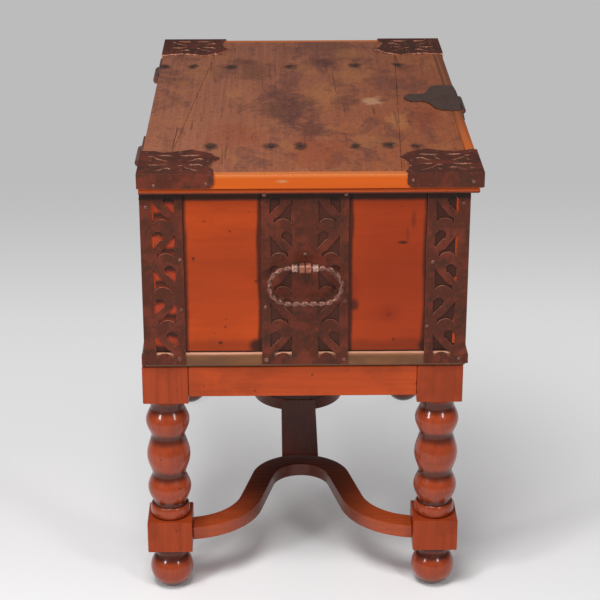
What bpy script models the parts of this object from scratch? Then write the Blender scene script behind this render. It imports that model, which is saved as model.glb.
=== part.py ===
"""Chest on stand: an iron-bound board chest with a hinged lid, lifted onto a stand with bobbin-turned legs.

Metres, +Z up. +X runs along the chest to its right end, the front faces -Y and the feet stand on z = 0.
"""

import math

import bmesh
import bpy
from mathutils import Matrix, Vector

# Gap between faces that meet, how far a cutter runs past the face that it opens, the share of a gap
# within which points are one, and the angles under which faces are merged or shaded as one
GAP = 0.0003
OVERRUN = 0.004
WELD_SHARE = 0.1
FLAT_ANGLE = math.radians(1.0)
SHARP_ANGLE = math.radians(35.0)

# Chest box
BODY_LENGTH = 0.756
BODY_DEPTH = 0.481
PANEL_THICKNESS = 0.018
PANEL_HEIGHT = 0.2651
BOTTOM_THICKNESS = 0.0240
BOTTOM_PROUD = 0.004
BOTTOM_ROUNDING = 0.004
BOTTOM_ROUNDING_STEPS = 3
TAIL_COUNT = 4
TAIL_SHARE = 0.62
TAIL_SLOPE = 0.16

# Lid
END_OVERHANG = 0.019
FRONT_OVERHANG = 0.017
BACK_OVERHANG = 0.002
LID_THICKNESS = 0.022
END_MOULDING_WIDTH = 0.013
FRONT_MOULDING_WIDTH = 0.015
BEAD_HEIGHT = 0.008
BEAD_INSET = 0.003
BEAD_STEPS = 4
QUIRK_DEPTH = 0.0045
QUIRK_HEIGHT = 0.0012
LIP_CLEARANCE = 0.0015
FRONT_BOARD_LEFT = 0.102
FRONT_BOARD_RIGHT = 0.065
BACK_BOARD_LEFT = 0.037
BACK_BOARD_RIGHT = 0.100
BATTEN_WIDTH = 0.034
BATTEN_THICKNESS = 0.014
BATTEN_END_CLEARANCE = 0.003
LEFT_BATTEN_FROM_END = 0.116
RIGHT_BATTEN_FROM_END = 0.166
BATTEN_CHAMFER = 0.003

# Stand
STAND_HEIGHT = 0.3945
STAND_PROUD_ENDS = 0.001
STAND_PROUD_FRONT = 0.0005
STAND_PROUD_BACK = 0.0073
BLOCK_SIDE = 0.070
BLOCK_EDGE = 0.0012
TOP_BLOCK_HEIGHT = 0.0615
LOWER_BLOCK_BOTTOM = 0.0755
LOWER_BLOCK_HEIGHT = 0.051
BOBBIN_COUNT = 3
BOBBIN_RADIUS = 0.0340
WAIST_RADIUS = 0.0245
NECK_HEIGHT = 0.0167
COLLAR_RADIUS = 0.031
COLLAR_HEIGHT = 0.0195
FOOT_RADIUS = 0.0340
FOOT_CENTRE_HEIGHT = 0.0318
FOOT_FLAT_RADIUS = 0.012
ANKLE_RADIUS = 0.0245
ANKLE_TOP_RADIUS = 0.027
ANKLE_HEIGHT = 0.011
BOBBIN_POWER = 1.5
LEG_SIDES = 14
BOBBIN_STEPS = 6
COLLAR_STEPS = 4
FOOT_STEPS = 6
RAIL_HEIGHT = 0.049
RAIL_THICKNESS = 0.022
RAIL_SETBACK = 0.002
RAIL_DROP = 0.001
RAIL_EDGE = 0.0012
TENON_THICKNESS = 0.010
TENON_SHOULDER = 0.008
TENON_LENGTH = 0.026
STRETCHER_WIDTH = 0.036
STRETCHER_THICKNESS = 0.0225
STRETCHER_BOTTOM = 0.086
STRETCHER_REACH = 0.2168
STRETCHER_SWEEP = math.radians(76.9)
STRETCHER_FIRST_BEND_SHARE = 0.625
STRETCHER_BEND_INSET = 0.0126
STRETCHER_BEND_STEPS = 7
STRETCHER_TENON_LENGTH = 0.022
STRETCHER_TENON_THICKNESS = 0.009
STRETCHER_TENON_SHOULDER = 0.005
CENTRE_BOARD_WIDTH = 0.062
CENTRE_TENON_LENGTH = 0.016

# Pierced sheet iron
IRON_THICKNESS = 0.002
IRON_TOP_CLEARANCE = 0.0034
IRON_FOOT_HEIGHT = 0.006
IRON_STEP_HEIGHT = 0.010
SCROLL_WIDTH = 0.036
SCROLL_COUNT = 5
SCROLL_FOOT = 0.0045
SCROLL_HEAD = 0.008
CORNER_MARGIN = 0.014
EDGE_MARGIN = 0.011
END_PLATE_WIDTH = 0.130
END_PLATE_MARGIN = 0.0115
HEART_CORNER_SHARE = 0.36
HEART_TOP_SHARES = ((0.70, 0.74), (0.30, 0.19))
HEART_TURN = (0.0, 200.0)
HEART_STEPS = 5
FIN_TOP_SHARE = 0.82
FIN_FOOT_SHARES = ((0.34, 0.0), (0.42, 0.24))
FIN_TURN = (144.0, 12.0)
FIN_STEPS = 4
FIN_TIP_SHARES = (0.86, 0.24)

# Corner irons of the lid
LID_IRON_ARM = 0.110
LID_IRON_FLANGE = 0.0205
LID_SCROLL_WIDTH = 0.034
LID_SCROLL_PITCH = 0.046
LID_SCROLL_MARGIN = 0.012
LID_SCROLL_SPACING = 0.045
LID_IRON_EDGE_SHARES = (
    (0.00, 0.00),
    (0.20, -0.02),
    (0.30, -0.07),
    (0.42, -0.05),
    (0.54, 0.00),
    (0.68, 0.07),
    (0.76, 0.00),
    (0.88, -0.06),
)

# Hinges on the back
HINGE_FROM_END = 0.142
HINGE_WIDTH = 0.068
HINGE_AXIS_STANDOFF = 0.009
KNUCKLE_RADIUS = 0.0065
HINGE_PIN_RADIUS = 0.003
KNUCKLE_COUNT = 3
KNUCKLE_GAP = 0.0006
KNUCKLE_SIDES = 10
HINGE_SHEET = 0.0025
HINGE_STRAP_HEIGHT = 0.125
HINGE_STRAP_NECK_SHARE = 0.45
HINGE_STRAP_TIP_SHARE = 0.20
HINGE_SWEEP_CLEARANCE = 0.0015

# Hasp at the middle of the front
HASP_AXIS_STANDOFF = 0.0065
HASP_AXIS_DEPTH = 0.011
HASP_KNUCKLE_RADIUS = 0.005
HASP_PIN_RADIUS = 0.0022
HASP_KNUCKLE_LENGTH = 0.024
HASP_LEAF_LENGTH = 0.089
HASP_LEAF_HALF_WIDTH = 0.075
HASP_LEAF_SHARES = (
    (0.01, 0.96),
    (0.20, 1.00),
    (0.36, 0.96),
    (0.47, 0.80),
    (0.54, 0.48),
    (0.61, 0.31),
    (0.74, 0.27),
    (0.86, 0.31),
    (0.94, 0.19),
)
HASP_THICKNESS = 0.0025
HASP_NECK_DROP = 0.023
HASP_STEP_DROP = 0.021
HASP_LENGTH = 0.132
HASP_TIP_LIFT = 0.004
HASP_TIP_HEIGHT = 0.014
HASP_HALF_WIDTH = 0.027
HASP_OUTLINE_SHARES = (
    (0.00, 0.40),
    (0.22, 0.42),
    (0.34, 0.80),
    (0.46, 1.00),
    (0.78, 1.00),
    (0.88, 0.80),
    (0.94, 0.42),
    (1.00, 0.30),
)
HASP_REST_ANGLE = math.radians(13.3)
STAPLE_DROP = 0.094
STAPLE_HEIGHT = 0.022
STAPLE_REACH = 0.0148
STAPLE_THICKNESS = 0.004
STAPLE_HOLE_HEIGHT = 0.013
STAPLE_HOLE_REACH = 0.0105
STAPLE_HOLE_DEPTH = 0.007
STAPLE_ROUNDING = 0.005

# Lock let into the front
LOCK_PLATE_WIDTH = 0.104
LOCK_PLATE_HEIGHT = 0.112
LOCK_PLATE_CORNER = 0.016
LOCK_SLOT_WIDTH = 0.0062
LOCK_SLOT_ABOVE = 0.0015
LOCK_SLOT_BELOW = 0.0050
KEYHOLE_RADIUS = 0.0035
KEYHOLE_DROP = 0.030
KEYHOLE_LEG_WIDTH = 0.003
KEYHOLE_LEG_LENGTH = 0.008
KEYHOLE_STEPS = 8
LOCK_POCKET_DEPTH = 0.0145
LOCK_CASE_WIDTH = 0.066
LOCK_CASE_HEIGHT = 0.052
LOCK_CASE_WALL = 0.002
BOLT_LENGTH = 0.024
BOLT_HEIGHT = 0.010
BOLT_DEPTH = 0.005
BOLT_BACK_FROM_STAPLE = 0.002
BOLT_INSET = 0.0012
BOLT_TRAVEL = 0.011
BOLT_GUIDE_LENGTH = 0.006

# Handles on the ends
HANDLE_AXIS_HEIGHT = 0.561
HANDLE_STANDOFF = 0.016
HANDLE_WIDTH = 0.116
HANDLE_HEIGHT = 0.065
HANDLE_ROD_RADIUS = 0.00425
HANDLE_BEND_STEPS = 10
HANDLE_ROD_RESOLUTION = 2
HANDLE_COLLAR_RADIUS = 0.0062
HANDLE_COLLAR_LENGTH = 0.0095
HANDLE_COLLAR_OFFSET = 0.0155
HANDLE_COLLAR_SIDES = 10
EYE_RADIUS = 0.0074
EYE_HOLE_RADIUS = 0.0049
EYE_WIDTH = 0.0080
EYE_OFFSET = 0.0047
EYE_SHANK_HEIGHT = 0.005
EYE_CLINCH_LENGTH = 0.012
EYE_CLINCH_THICKNESS = 0.003
EYE_STEPS = 12

# Places worked out from the sizes above
LID_LENGTH = BODY_LENGTH + 2 * END_OVERHANG
LID_DEPTH = BODY_DEPTH + FRONT_OVERHANG + BACK_OVERHANG
MIDDLE_Y = (FRONT_OVERHANG - BACK_OVERHANG) / 2
FRONT_Y = MIDDLE_Y - BODY_DEPTH / 2
BACK_Y = MIDDLE_Y + BODY_DEPTH / 2
BOTTOM_Z = STAND_HEIGHT + GAP
FLOOR_Z = BOTTOM_Z + BOTTOM_THICKNESS
PANEL_Z = FLOOR_Z + GAP
RIM_Z = PANEL_Z + PANEL_HEIGHT
LID_Z = RIM_Z + GAP
LID_TOP_Z = LID_Z + LID_THICKNESS
PLATE_FACE = GAP + IRON_THICKNESS
IRON_BOTTOM_Z = BOTTOM_Z + IRON_FOOT_HEIGHT
IRON_TOP_Z = RIM_Z - IRON_TOP_CLEARANCE
SCROLL_PITCH = (IRON_TOP_Z - IRON_BOTTOM_Z - SCROLL_FOOT - SCROLL_HEAD) / SCROLL_COUNT
IRON_STEP_Z = FLOOR_Z - BOTTOM_ROUNDING
IRON_WIDTH = CORNER_MARGIN + SCROLL_WIDTH + EDGE_MARGIN
HINGE_AXIS = Vector((0.0, BACK_Y + HINGE_AXIS_STANDOFF, LID_Z))
HASP_AXIS = Vector((0.0, -LID_DEPTH / 2 - HASP_AXIS_STANDOFF, LID_TOP_Z - HASP_AXIS_DEPTH))
LOCK_Z = HASP_AXIS.z - STAPLE_DROP
LOCK_FACE_Y = FRONT_Y - PLATE_FACE
LOCK_CASE_Z = LOCK_Z - KEYHOLE_DROP / 3
LOWER_BLOCK_TOP = LOWER_BLOCK_BOTTOM + LOWER_BLOCK_HEIGHT
LEG_SPACING_X = BODY_LENGTH + 2 * STAND_PROUD_ENDS - BLOCK_SIDE
LEG_SPACING_Y = BODY_DEPTH + STAND_PROUD_FRONT + STAND_PROUD_BACK - BLOCK_SIDE
STAND_Y = MIDDLE_Y + (STAND_PROUD_BACK - STAND_PROUD_FRONT) / 2
SPINDLE_TOP = STAND_HEIGHT - TOP_BLOCK_HEIGHT
RAIL_TOP = STAND_HEIGHT - RAIL_DROP
RAIL_BOTTOM = RAIL_TOP - RAIL_HEIGHT
TENON_BOTTOM = RAIL_BOTTOM + TENON_SHOULDER
TENON_TOP = RAIL_TOP - TENON_SHOULDER

SIDES = {"left": -1, "right": 1}
DEPTHS = {"front": -1, "back": 1}

# Colours are linear RGB
PANEL_WOOD = ("panel wood", (0.46, 0.085, 0.018), 0.42, 0.0)
LID_WOOD = ("lid wood", (0.21, 0.075, 0.032), 0.60, 0.0)
MOULDING_WOOD = ("moulding wood", (0.72, 0.19, 0.02), 0.45, 0.0)
BOTTOM_WOOD = ("bottom board wood", (0.24, 0.10, 0.03), 0.50, 0.0)
STAND_WOOD = ("stand wood", (0.36, 0.065, 0.025), 0.32, 0.0)
SHEET_IRON = ("rusted sheet iron", (0.085, 0.030, 0.022), 0.60, 0.6)
FORGED_IRON = ("forged iron", (0.13, 0.055, 0.045), 0.48, 0.8)


def clear_scene():
    for item in list(bpy.data.objects):
        bpy.data.objects.remove(item, do_unlink=True)


def collection_named(name):
    group = bpy.data.collections.new(name)
    bpy.context.scene.collection.children.link(group)
    return group


clear_scene()
CHEST_ON_STAND = collection_named("chest_on_stand")
CUTTERS = collection_named("cutters")


def material_of(finish, name):
    """A material of its own for one sub-part, with the finish's colour."""
    label, colour, roughness, metallic = finish
    made = bpy.data.materials.new(f"{name} {label}")
    made.use_nodes = True
    shader = made.node_tree.nodes["Principled BSDF"]
    shader.inputs["Base Color"].default_value = (*colour, 1.0)
    shader.inputs["Roughness"].default_value = roughness
    shader.inputs["Metallic"].default_value = metallic
    made.diffuse_color = (*colour, 1.0)
    return made


def new_object(name, mesh, finish=None):
    """An object in the chest's collection, or among the cutters where it has no finish."""
    made = bpy.data.objects.new(name, mesh)
    if finish:
        mesh.materials.clear()
        mesh.materials.append(material_of(finish, name))
        CHEST_ON_STAND.objects.link(made)
    else:
        CUTTERS.objects.link(made)
        made.hide_render = True
        made.display_type = "WIRE"
    return made


def box(name, low, high, finish=None, edge=0.0):
    """A box between two corners, with its edges broken where an edge width is given."""
    low = Vector(low)
    high = Vector(high)
    cube = bmesh.new()
    bmesh.ops.create_cube(cube, size=1.0, matrix=Matrix.Diagonal((*(high - low), 1.0)))
    mesh = bpy.data.meshes.new(name)
    cube.to_mesh(mesh)
    cube.free()
    made = new_object(name, mesh, finish)
    made.location = (low + high) / 2
    if edge:
        bevel = made.modifiers.new("broken edges", "BEVEL")
        bevel.width = edge
        bevel.segments = 1
        bevel.limit_method = "NONE"
    return made


def outline_mesh(name, outlines, half_depth):
    """A mesh filled from closed outlines in the XY plane, with holes where one lies inside another."""
    curve = bpy.data.curves.new(name, "CURVE")
    curve.dimensions = "2D"
    curve.fill_mode = "BOTH"
    curve.extrude = half_depth
    for points in outlines:
        spline = curve.splines.new("POLY")
        spline.points.add(len(points) - 1)
        for point, place in zip(spline.points, points):
            point.co = (place[0], place[1], 0.0, 1.0)
        spline.use_cyclic_u = True
    guide = bpy.data.objects.new(name, curve)
    CUTTERS.objects.link(guide)
    mesh = mesh_of(guide)
    bpy.data.objects.remove(guide, do_unlink=True)
    return mesh


def mesh_of(item):
    """The welded mesh of a curve object."""
    bpy.context.view_layer.update()
    graph = bpy.context.evaluated_depsgraph_get()
    mesh = bpy.data.meshes.new_from_object(item.evaluated_get(graph))
    welded = bmesh.new()
    welded.from_mesh(mesh)
    bmesh.ops.remove_doubles(welded, verts=welded.verts, dist=WELD_SHARE * GAP)
    welded.to_mesh(mesh)
    welded.free()
    return mesh


def plate(name, outlines, plane, low, high, finish=None):
    """A flat solid: outlines in the XY, XZ or YZ plane, from low to high along the third axis."""
    made = new_object(name, outline_mesh(name, outlines, (high - low) / 2), finish)
    middle = (low + high) / 2
    quarter = math.pi / 2
    if plane == "XY":
        made.location.z = middle
    elif plane == "XZ":
        made.location.y = middle
        made.rotation_euler = (quarter, 0.0, 0.0)
    else:
        made.location.x = middle
        made.rotation_euler = (quarter, 0.0, quarter)
    return made


def turned(name, profile, sides, finish=None):
    """A turned solid from a profile of (radius, height), read from top to bottom."""
    mesh = bpy.data.meshes.new(name)
    points = [(radius, 0.0, height) for radius, height in profile]
    edges = [(i, i + 1) for i in range(len(points) - 1)]
    mesh.from_pydata(points, edges, [])
    made = new_object(name, mesh, finish)
    screw = made.modifiers.new("turning", "SCREW")
    screw.axis = "Z"
    screw.steps = sides
    screw.render_steps = sides
    screw.use_merge_vertices = True
    screw.merge_threshold = WELD_SHARE * GAP
    return made


def combine(target, tool, operation):
    change = target.modifiers.new(f"{operation.lower()} {tool.name}", "BOOLEAN")
    change.operation = operation
    change.object = tool
    change.solver = "EXACT"


def join(target, *tools):
    for tool in tools:
        combine(target, tool, "UNION")


def cut(target, *tools):
    for tool in tools:
        combine(target, tool, "DIFFERENCE")


def arc(centre, radii, turn, steps):
    """Points along an elliptical arc, its turn in degrees."""
    start, end = (math.radians(angle) for angle in turn)
    angles = [start + (end - start) * i / steps for i in range(steps + 1)]
    return [(centre[0] + radii[0] * math.cos(a), centre[1] + radii[1] * math.sin(a)) for a in angles]


def circle(centre, radius, steps):
    return arc(centre, (radius, radius), (0.0, 360.0), steps)[:-1]


def rectangle(low, high):
    return [low, (high[0], low[1]), high, (low[0], high[1])]


def barrel(name, radius, low, high, place, sides, finish=None):
    """A cylinder along X between low and high, its axis through place in the YZ plane."""
    return plate(name, [circle(place, radius, sides)], "YZ", low, high, finish)


# Stand


def spindle_profile():
    """Radius and height down the turned leg, which runs on inside both of its square blocks."""
    pitch = (SPINDLE_TOP - NECK_HEIGHT - LOWER_BLOCK_TOP - COLLAR_HEIGHT) / BOBBIN_COUNT
    top = SPINDLE_TOP + TOP_BLOCK_HEIGHT / 2
    profile = [(0.0, top), (WAIST_RADIUS, top)]
    for index in range(BOBBIN_COUNT):
        centre = SPINDLE_TOP - NECK_HEIGHT - (index + 1 / 2) * pitch
        for step in range(BOBBIN_STEPS):
            turn = math.pi * step / BOBBIN_STEPS
            swell = math.sin(turn) ** BOBBIN_POWER
            radius = WAIST_RADIUS + (BOBBIN_RADIUS - WAIST_RADIUS) * swell
            profile.append((radius, centre + pitch / 2 * math.cos(turn)))
    middle = LOWER_BLOCK_TOP + COLLAR_HEIGHT / 2
    for step in range(COLLAR_STEPS + 1):
        turn = math.pi * step / COLLAR_STEPS
        radius = WAIST_RADIUS + (COLLAR_RADIUS - WAIST_RADIUS) * math.sin(turn)
        profile.append((radius, middle + COLLAR_HEIGHT / 2 * math.cos(turn)))
    profile.append((ANKLE_TOP_RADIUS, LOWER_BLOCK_BOTTOM))
    profile.append((ANKLE_TOP_RADIUS, LOWER_BLOCK_BOTTOM - ANKLE_HEIGHT))
    return profile + foot_profile()


def foot_profile():
    """The ball foot, from the ankle down to the small flat that it stands on."""
    flat_turn = math.asin(FOOT_FLAT_RADIUS / FOOT_RADIUS)
    half_height = FOOT_CENTRE_HEIGHT / math.cos(flat_turn)
    start = math.asin(ANKLE_RADIUS / FOOT_RADIUS)
    profile = []
    for step in range(FOOT_STEPS + 1):
        turn = start + (math.pi - flat_turn - start) * step / FOOT_STEPS
        height = FOOT_CENTRE_HEIGHT + half_height * math.cos(turn)
        profile.append((FOOT_RADIUS * math.sin(turn), max(height, 0.0)))
    return profile + [(0.0, 0.0)]


def leg_axis(side, depth):
    return side * LEG_SPACING_X / 2, STAND_Y + depth * LEG_SPACING_Y / 2


def block_faces(side, depth):
    """Inner faces of a leg's blocks: the x that its long rail meets and the y that its end rail meets."""
    x, y = leg_axis(side, depth)
    return x - side * BLOCK_SIDE / 2, y - depth * BLOCK_SIDE / 2


def between(a, b):
    return (min(a, b), max(a, b))


def rail_lines(sign, spacing):
    """Outer face, inner face and both tenon faces of a rail, across its length."""
    outer = sign * (spacing / 2 + BLOCK_SIDE / 2 - RAIL_SETBACK)
    inner = outer - sign * RAIL_THICKNESS
    middle = (outer + inner) / 2
    return between(outer, inner), (middle - TENON_THICKNESS / 2, middle + TENON_THICKNESS / 2)


def leg(name, side, depth):
    x, y = leg_axis(side, depth)
    face_x, face_y = block_faces(side, depth)
    half = BLOCK_SIDE / 2
    made = box(
        name,
        (x - half, y - half, SPINDLE_TOP),
        (x + half, y + half, STAND_HEIGHT),
        STAND_WOOD,
        BLOCK_EDGE,
    )
    lower = box(
        f"{name} lower block",
        (x - half, y - half, LOWER_BLOCK_BOTTOM),
        (x + half, y + half, LOWER_BLOCK_TOP),
        edge=BLOCK_EDGE,
    )
    spindle = turned(f"{name} spindle", spindle_profile(), LEG_SIDES)
    spindle.location = (x, y, 0.0)
    join(made, spindle, lower)

    tenon_y = rail_lines(depth, LEG_SPACING_Y)[1]
    depth_x = between(face_x + side * (TENON_LENGTH + GAP), face_x - side * OVERRUN)
    long_mortise = box(
        f"{name} long rail mortise",
        (depth_x[0], STAND_Y + tenon_y[0] - GAP, TENON_BOTTOM - GAP),
        (depth_x[1], STAND_Y + tenon_y[1] + GAP, TENON_TOP + GAP),
    )
    tenon_x = rail_lines(side, LEG_SPACING_X)[1]
    depth_y = between(face_y + depth * (TENON_LENGTH + GAP), face_y - depth * OVERRUN)
    end_mortise = box(
        f"{name} end rail mortise",
        (tenon_x[0] - GAP, depth_y[0], TENON_BOTTOM - GAP),
        (tenon_x[1] + GAP, depth_y[1], TENON_TOP + GAP),
    )
    reach = between(face_y + depth * (STRETCHER_TENON_LENGTH + GAP), face_y - depth * OVERRUN)
    wide = STRETCHER_WIDTH / 2 - STRETCHER_TENON_SHOULDER + GAP
    low, high = stretcher_tenon_heights()
    stretcher_mortise = box(
        f"{name} stretcher mortise", (x - wide, reach[0], low - GAP), (x + wide, reach[1], high + GAP)
    )
    cut(made, long_mortise, end_mortise, stretcher_mortise)
    return made


def rail(name, body_low, body_high, tenon_low, tenon_high):
    made = box(name, body_low, body_high, STAND_WOOD, RAIL_EDGE)
    join(made, box(f"{name} tenons", tenon_low, tenon_high))
    return made


def long_rail(name, depth):
    body_y, tenon_y = rail_lines(depth, LEG_SPACING_Y)
    end = LEG_SPACING_X / 2 - BLOCK_SIDE / 2
    return rail(
        name,
        (-end + GAP, STAND_Y + body_y[0], RAIL_BOTTOM),
        (end - GAP, STAND_Y + body_y[1], RAIL_TOP),
        (-end - TENON_LENGTH, STAND_Y + tenon_y[0], TENON_BOTTOM),
        (end + TENON_LENGTH, STAND_Y + tenon_y[1], TENON_TOP),
    )


def end_rail(name, side):
    body_x, tenon_x = rail_lines(side, LEG_SPACING_X)
    end = LEG_SPACING_Y / 2 - BLOCK_SIDE / 2
    return rail(
        name,
        (body_x[0], STAND_Y - end + GAP, RAIL_BOTTOM),
        (body_x[1], STAND_Y + end - GAP, RAIL_TOP),
        (tenon_x[0], STAND_Y - end - TENON_LENGTH, TENON_BOTTOM),
        (tenon_x[1], STAND_Y + end + TENON_LENGTH, TENON_TOP),
    )


def stretcher_tenon_heights():
    middle = STRETCHER_BOTTOM + STRETCHER_THICKNESS / 2
    return middle - STRETCHER_TENON_THICKNESS / 2, middle + STRETCHER_TENON_THICKNESS / 2


def stretcher_line():
    """Middle line of half an end stretcher, as (inward, across, heading), from inside its leg to its apex.

    It bends inward, runs on and bends back. The two radii share out one length, which follows from the
    reach inward, the run across and the sweep of a bend.
    """
    run = LEG_SPACING_Y / 2 - BLOCK_SIDE / 2 + STRETCHER_BEND_INSET
    sine = math.sin(STRETCHER_SWEEP)
    cosine = math.cos(STRETCHER_SWEEP)
    radii = (run * sine - STRETCHER_REACH * cosine) / (1 - cosine)
    first = radii * STRETCHER_FIRST_BEND_SHARE
    second = radii - first
    line = []
    for step in range(STRETCHER_BEND_STEPS + 1):
        turn = STRETCHER_SWEEP * step / STRETCHER_BEND_STEPS
        line.append((first * (1 - math.cos(turn)), run - first * math.sin(turn), turn))
    for step in range(STRETCHER_BEND_STEPS, -1, -1):
        turn = STRETCHER_SWEEP * step / STRETCHER_BEND_STEPS
        inward = STRETCHER_REACH - second * (1 - math.cos(turn))
        line.append((inward, second * math.sin(turn), turn))
    return line


def stretcher_edge(offset):
    """One edge of half an end stretcher, as (inward, across), from the face of its leg to its apex."""
    edge = [(i + offset * math.cos(a), c + offset * math.sin(a)) for i, c, a in stretcher_line()]
    face = LEG_SPACING_Y / 2 - BLOCK_SIDE / 2 - GAP
    first = next(index for index, point in enumerate(edge) if point[1] < face)
    before, after = edge[first - 1], edge[first]
    share = (before[1] - face) / (before[1] - after[1])
    return [(before[0] + share * (after[0] - before[0]), face)] + edge[first:]


def stretcher_outline(side):
    """Outline of an end stretcher in plan: both of its edges, mirrored front to back."""
    outer = stretcher_edge(-STRETCHER_WIDTH / 2)
    inner = stretcher_edge(STRETCHER_WIDTH / 2)
    outer_side = outer + [(inward, -across) for inward, across in outer[-2::-1]]
    inner_side = inner + [(inward, -across) for inward, across in inner[-2::-1]]
    ring = outer_side + inner_side[::-1]
    leg_x = LEG_SPACING_X / 2
    return [(side * (leg_x - inward), STAND_Y + across) for inward, across in ring]


def end_stretcher(name, side):
    top = STRETCHER_BOTTOM + STRETCHER_THICKNESS
    made = plate(name, [stretcher_outline(side)], "XY", STRETCHER_BOTTOM, top, STAND_WOOD)
    low, high = stretcher_tenon_heights()
    wide = STRETCHER_WIDTH / 2 - STRETCHER_TENON_SHOULDER
    x = side * LEG_SPACING_X / 2
    face = LEG_SPACING_Y / 2 - BLOCK_SIDE / 2
    for place, depth in DEPTHS.items():
        reach = between(face + STRETCHER_TENON_LENGTH, face - STRETCHER_TENON_LENGTH)
        ends = between(STAND_Y + depth * reach[0], STAND_Y + depth * reach[1])
        join(made, box(f"{name} {place} tenon", (x - wide, ends[0], low), (x + wide, ends[1], high)))
    apex = side * (LEG_SPACING_X / 2 - STRETCHER_REACH - STRETCHER_WIDTH / 2)
    socket = between(apex + side * (CENTRE_TENON_LENGTH + GAP), apex - side * OVERRUN)
    wide = CENTRE_BOARD_WIDTH / 2 - STRETCHER_TENON_SHOULDER + GAP
    cutter = box(
        f"{name} centre mortise",
        (socket[0], STAND_Y - wide, low - GAP),
        (socket[1], STAND_Y + wide, high + GAP),
    )
    cut(made, cutter)
    return made


def centre_stretcher():
    apex = LEG_SPACING_X / 2 - STRETCHER_REACH - STRETCHER_WIDTH / 2
    half = CENTRE_BOARD_WIDTH / 2
    made = box(
        "stretcher_centre",
        (-apex + GAP, STAND_Y - half, STRETCHER_BOTTOM),
        (apex - GAP, STAND_Y + half, STRETCHER_BOTTOM + STRETCHER_THICKNESS),
        STAND_WOOD,
    )
    low, high = stretcher_tenon_heights()
    wide = half - STRETCHER_TENON_SHOULDER
    tenons = box(
        "stretcher_centre tenons",
        (-apex - CENTRE_TENON_LENGTH, STAND_Y - wide, low),
        (apex + CENTRE_TENON_LENGTH, STAND_Y + wide, high),
    )
    join(made, tenons)
    return made


def stand_pieces():
    pieces = []
    for depth_name, depth in DEPTHS.items():
        for side_name, side in SIDES.items():
            pieces.append(leg(f"leg_{depth_name}_{side_name}", side, depth))
        pieces.append(long_rail(f"rail_{depth_name}", depth))
    for side_name, side in SIDES.items():
        pieces.append(end_rail(f"rail_{side_name}", side))
        pieces.append(end_stretcher(f"stretcher_{side_name}", side))
    pieces.append(centre_stretcher())
    return pieces


# Boards of the chest


def tail_outlines(side, root, tip, grow):
    """The dovetails at one end of a long board, in the XZ plane, from root to tip and grown on both slopes.

    root and tip are distances from the middle of the chest.
    """
    pitch = PANEL_HEIGHT / TAIL_COUNT
    tails = []
    for index in range(TAIL_COUNT):
        middle = PANEL_Z + (index + 1 / 2) * pitch
        wide, narrow = (
            pitch * TAIL_SHARE / 2 + grow - TAIL_SLOPE * (BODY_LENGTH / 2 - reach) for reach in (tip, root)
        )
        tails.append(
            [
                (side * root, middle - narrow),
                (side * tip, middle - wide),
                (side * tip, middle + wide),
                (side * root, middle + narrow),
            ]
        )
    return tails


def long_panel(name, depth):
    """Front or back board, with the tails that lock it between the ends."""
    tip = BODY_LENGTH / 2
    root = tip - PANEL_THICKNESS - GAP
    right = [point for tail in tail_outlines(1, root, tip, 0.0) for point in tail]
    left = [point for tail in tail_outlines(-1, root, tip, 0.0)[::-1] for point in tail[::-1]]
    outline = [(-root, PANEL_Z), (root, PANEL_Z)] + right + [(root, RIM_Z), (-root, RIM_Z)] + left
    outer = MIDDLE_Y + depth * BODY_DEPTH / 2
    low, high = between(outer, outer - depth * PANEL_THICKNESS)
    return plate(name, [outline], "XZ", low, high, PANEL_WOOD)


def tail_sockets(name, side):
    """Cutters for one end board: the tails of the front and of the back, run past both of its faces."""
    tip = BODY_LENGTH / 2
    sockets = tail_outlines(side, tip - PANEL_THICKNESS - OVERRUN, tip + OVERRUN, GAP)
    front = plate(f"{name} front sockets", sockets, "XZ", FRONT_Y - OVERRUN, FRONT_Y + PANEL_THICKNESS + GAP)
    back = plate(f"{name} back sockets", sockets, "XZ", BACK_Y - PANEL_THICKNESS - GAP, BACK_Y + OVERRUN)
    return front, back


def end_panel(name, side):
    outer = side * BODY_LENGTH / 2
    low, high = between(outer, outer - side * PANEL_THICKNESS)
    made = box(name, (low, FRONT_Y, PANEL_Z), (high, BACK_Y, RIM_Z), PANEL_WOOD)
    cut(made, *tail_sockets(name, side))
    (low_y, low_z), (high_y, high_z) = shank_hole()
    hole = box(
        f"{name} eye hole",
        (low - OVERRUN, MIDDLE_Y + low_y, low_z),
        (high + OVERRUN, MIDDLE_Y + high_y, high_z),
    )
    cut(made, hole)
    return made


def bottom_board():
    made = box(
        "bottom_board",
        (-BODY_LENGTH / 2 - BOTTOM_PROUD, FRONT_Y - BOTTOM_PROUD, BOTTOM_Z),
        (BODY_LENGTH / 2 + BOTTOM_PROUD, BACK_Y + BOTTOM_PROUD, FLOOR_Z),
        BOTTOM_WOOD,
    )
    bevel = made.modifiers.new("rounded edges", "BEVEL")
    bevel.width = BOTTOM_ROUNDING
    bevel.segments = BOTTOM_ROUNDING_STEPS
    bevel.limit_method = "ANGLE"
    return made


# Pierced sheet iron


def scroll(hand, left, width, low, pitch):
    """The two openings of one scroll: a half heart over the stem and a fin under it, mirrored by hand."""
    heart = [(1.0, HEART_CORNER_SHARE)] + arc(*HEART_TOP_SHARES, HEART_TURN, HEART_STEPS)
    fin = [(0.0, FIN_TOP_SHARE)] + arc(*FIN_FOOT_SHARES, FIN_TURN, FIN_STEPS) + [FIN_TIP_SHARES]
    placed = []
    for opening in (heart, fin):
        turned_shares = [(across if hand > 0 else 1 - across, up) for across, up in opening]
        placed.append([(left + across * width, low + up * pitch) for across, up in turned_shares])
    return placed


def scroll_column(left, width, low, pitch, count, top_hand):
    """Scrolls stacked in a column, each the mirror of the one above it."""
    openings = []
    for index in range(count):
        hand = top_hand * (-1) ** (count - 1 - index)
        openings += scroll(hand, left, width, low + index * pitch, pitch)
    return openings


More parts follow.
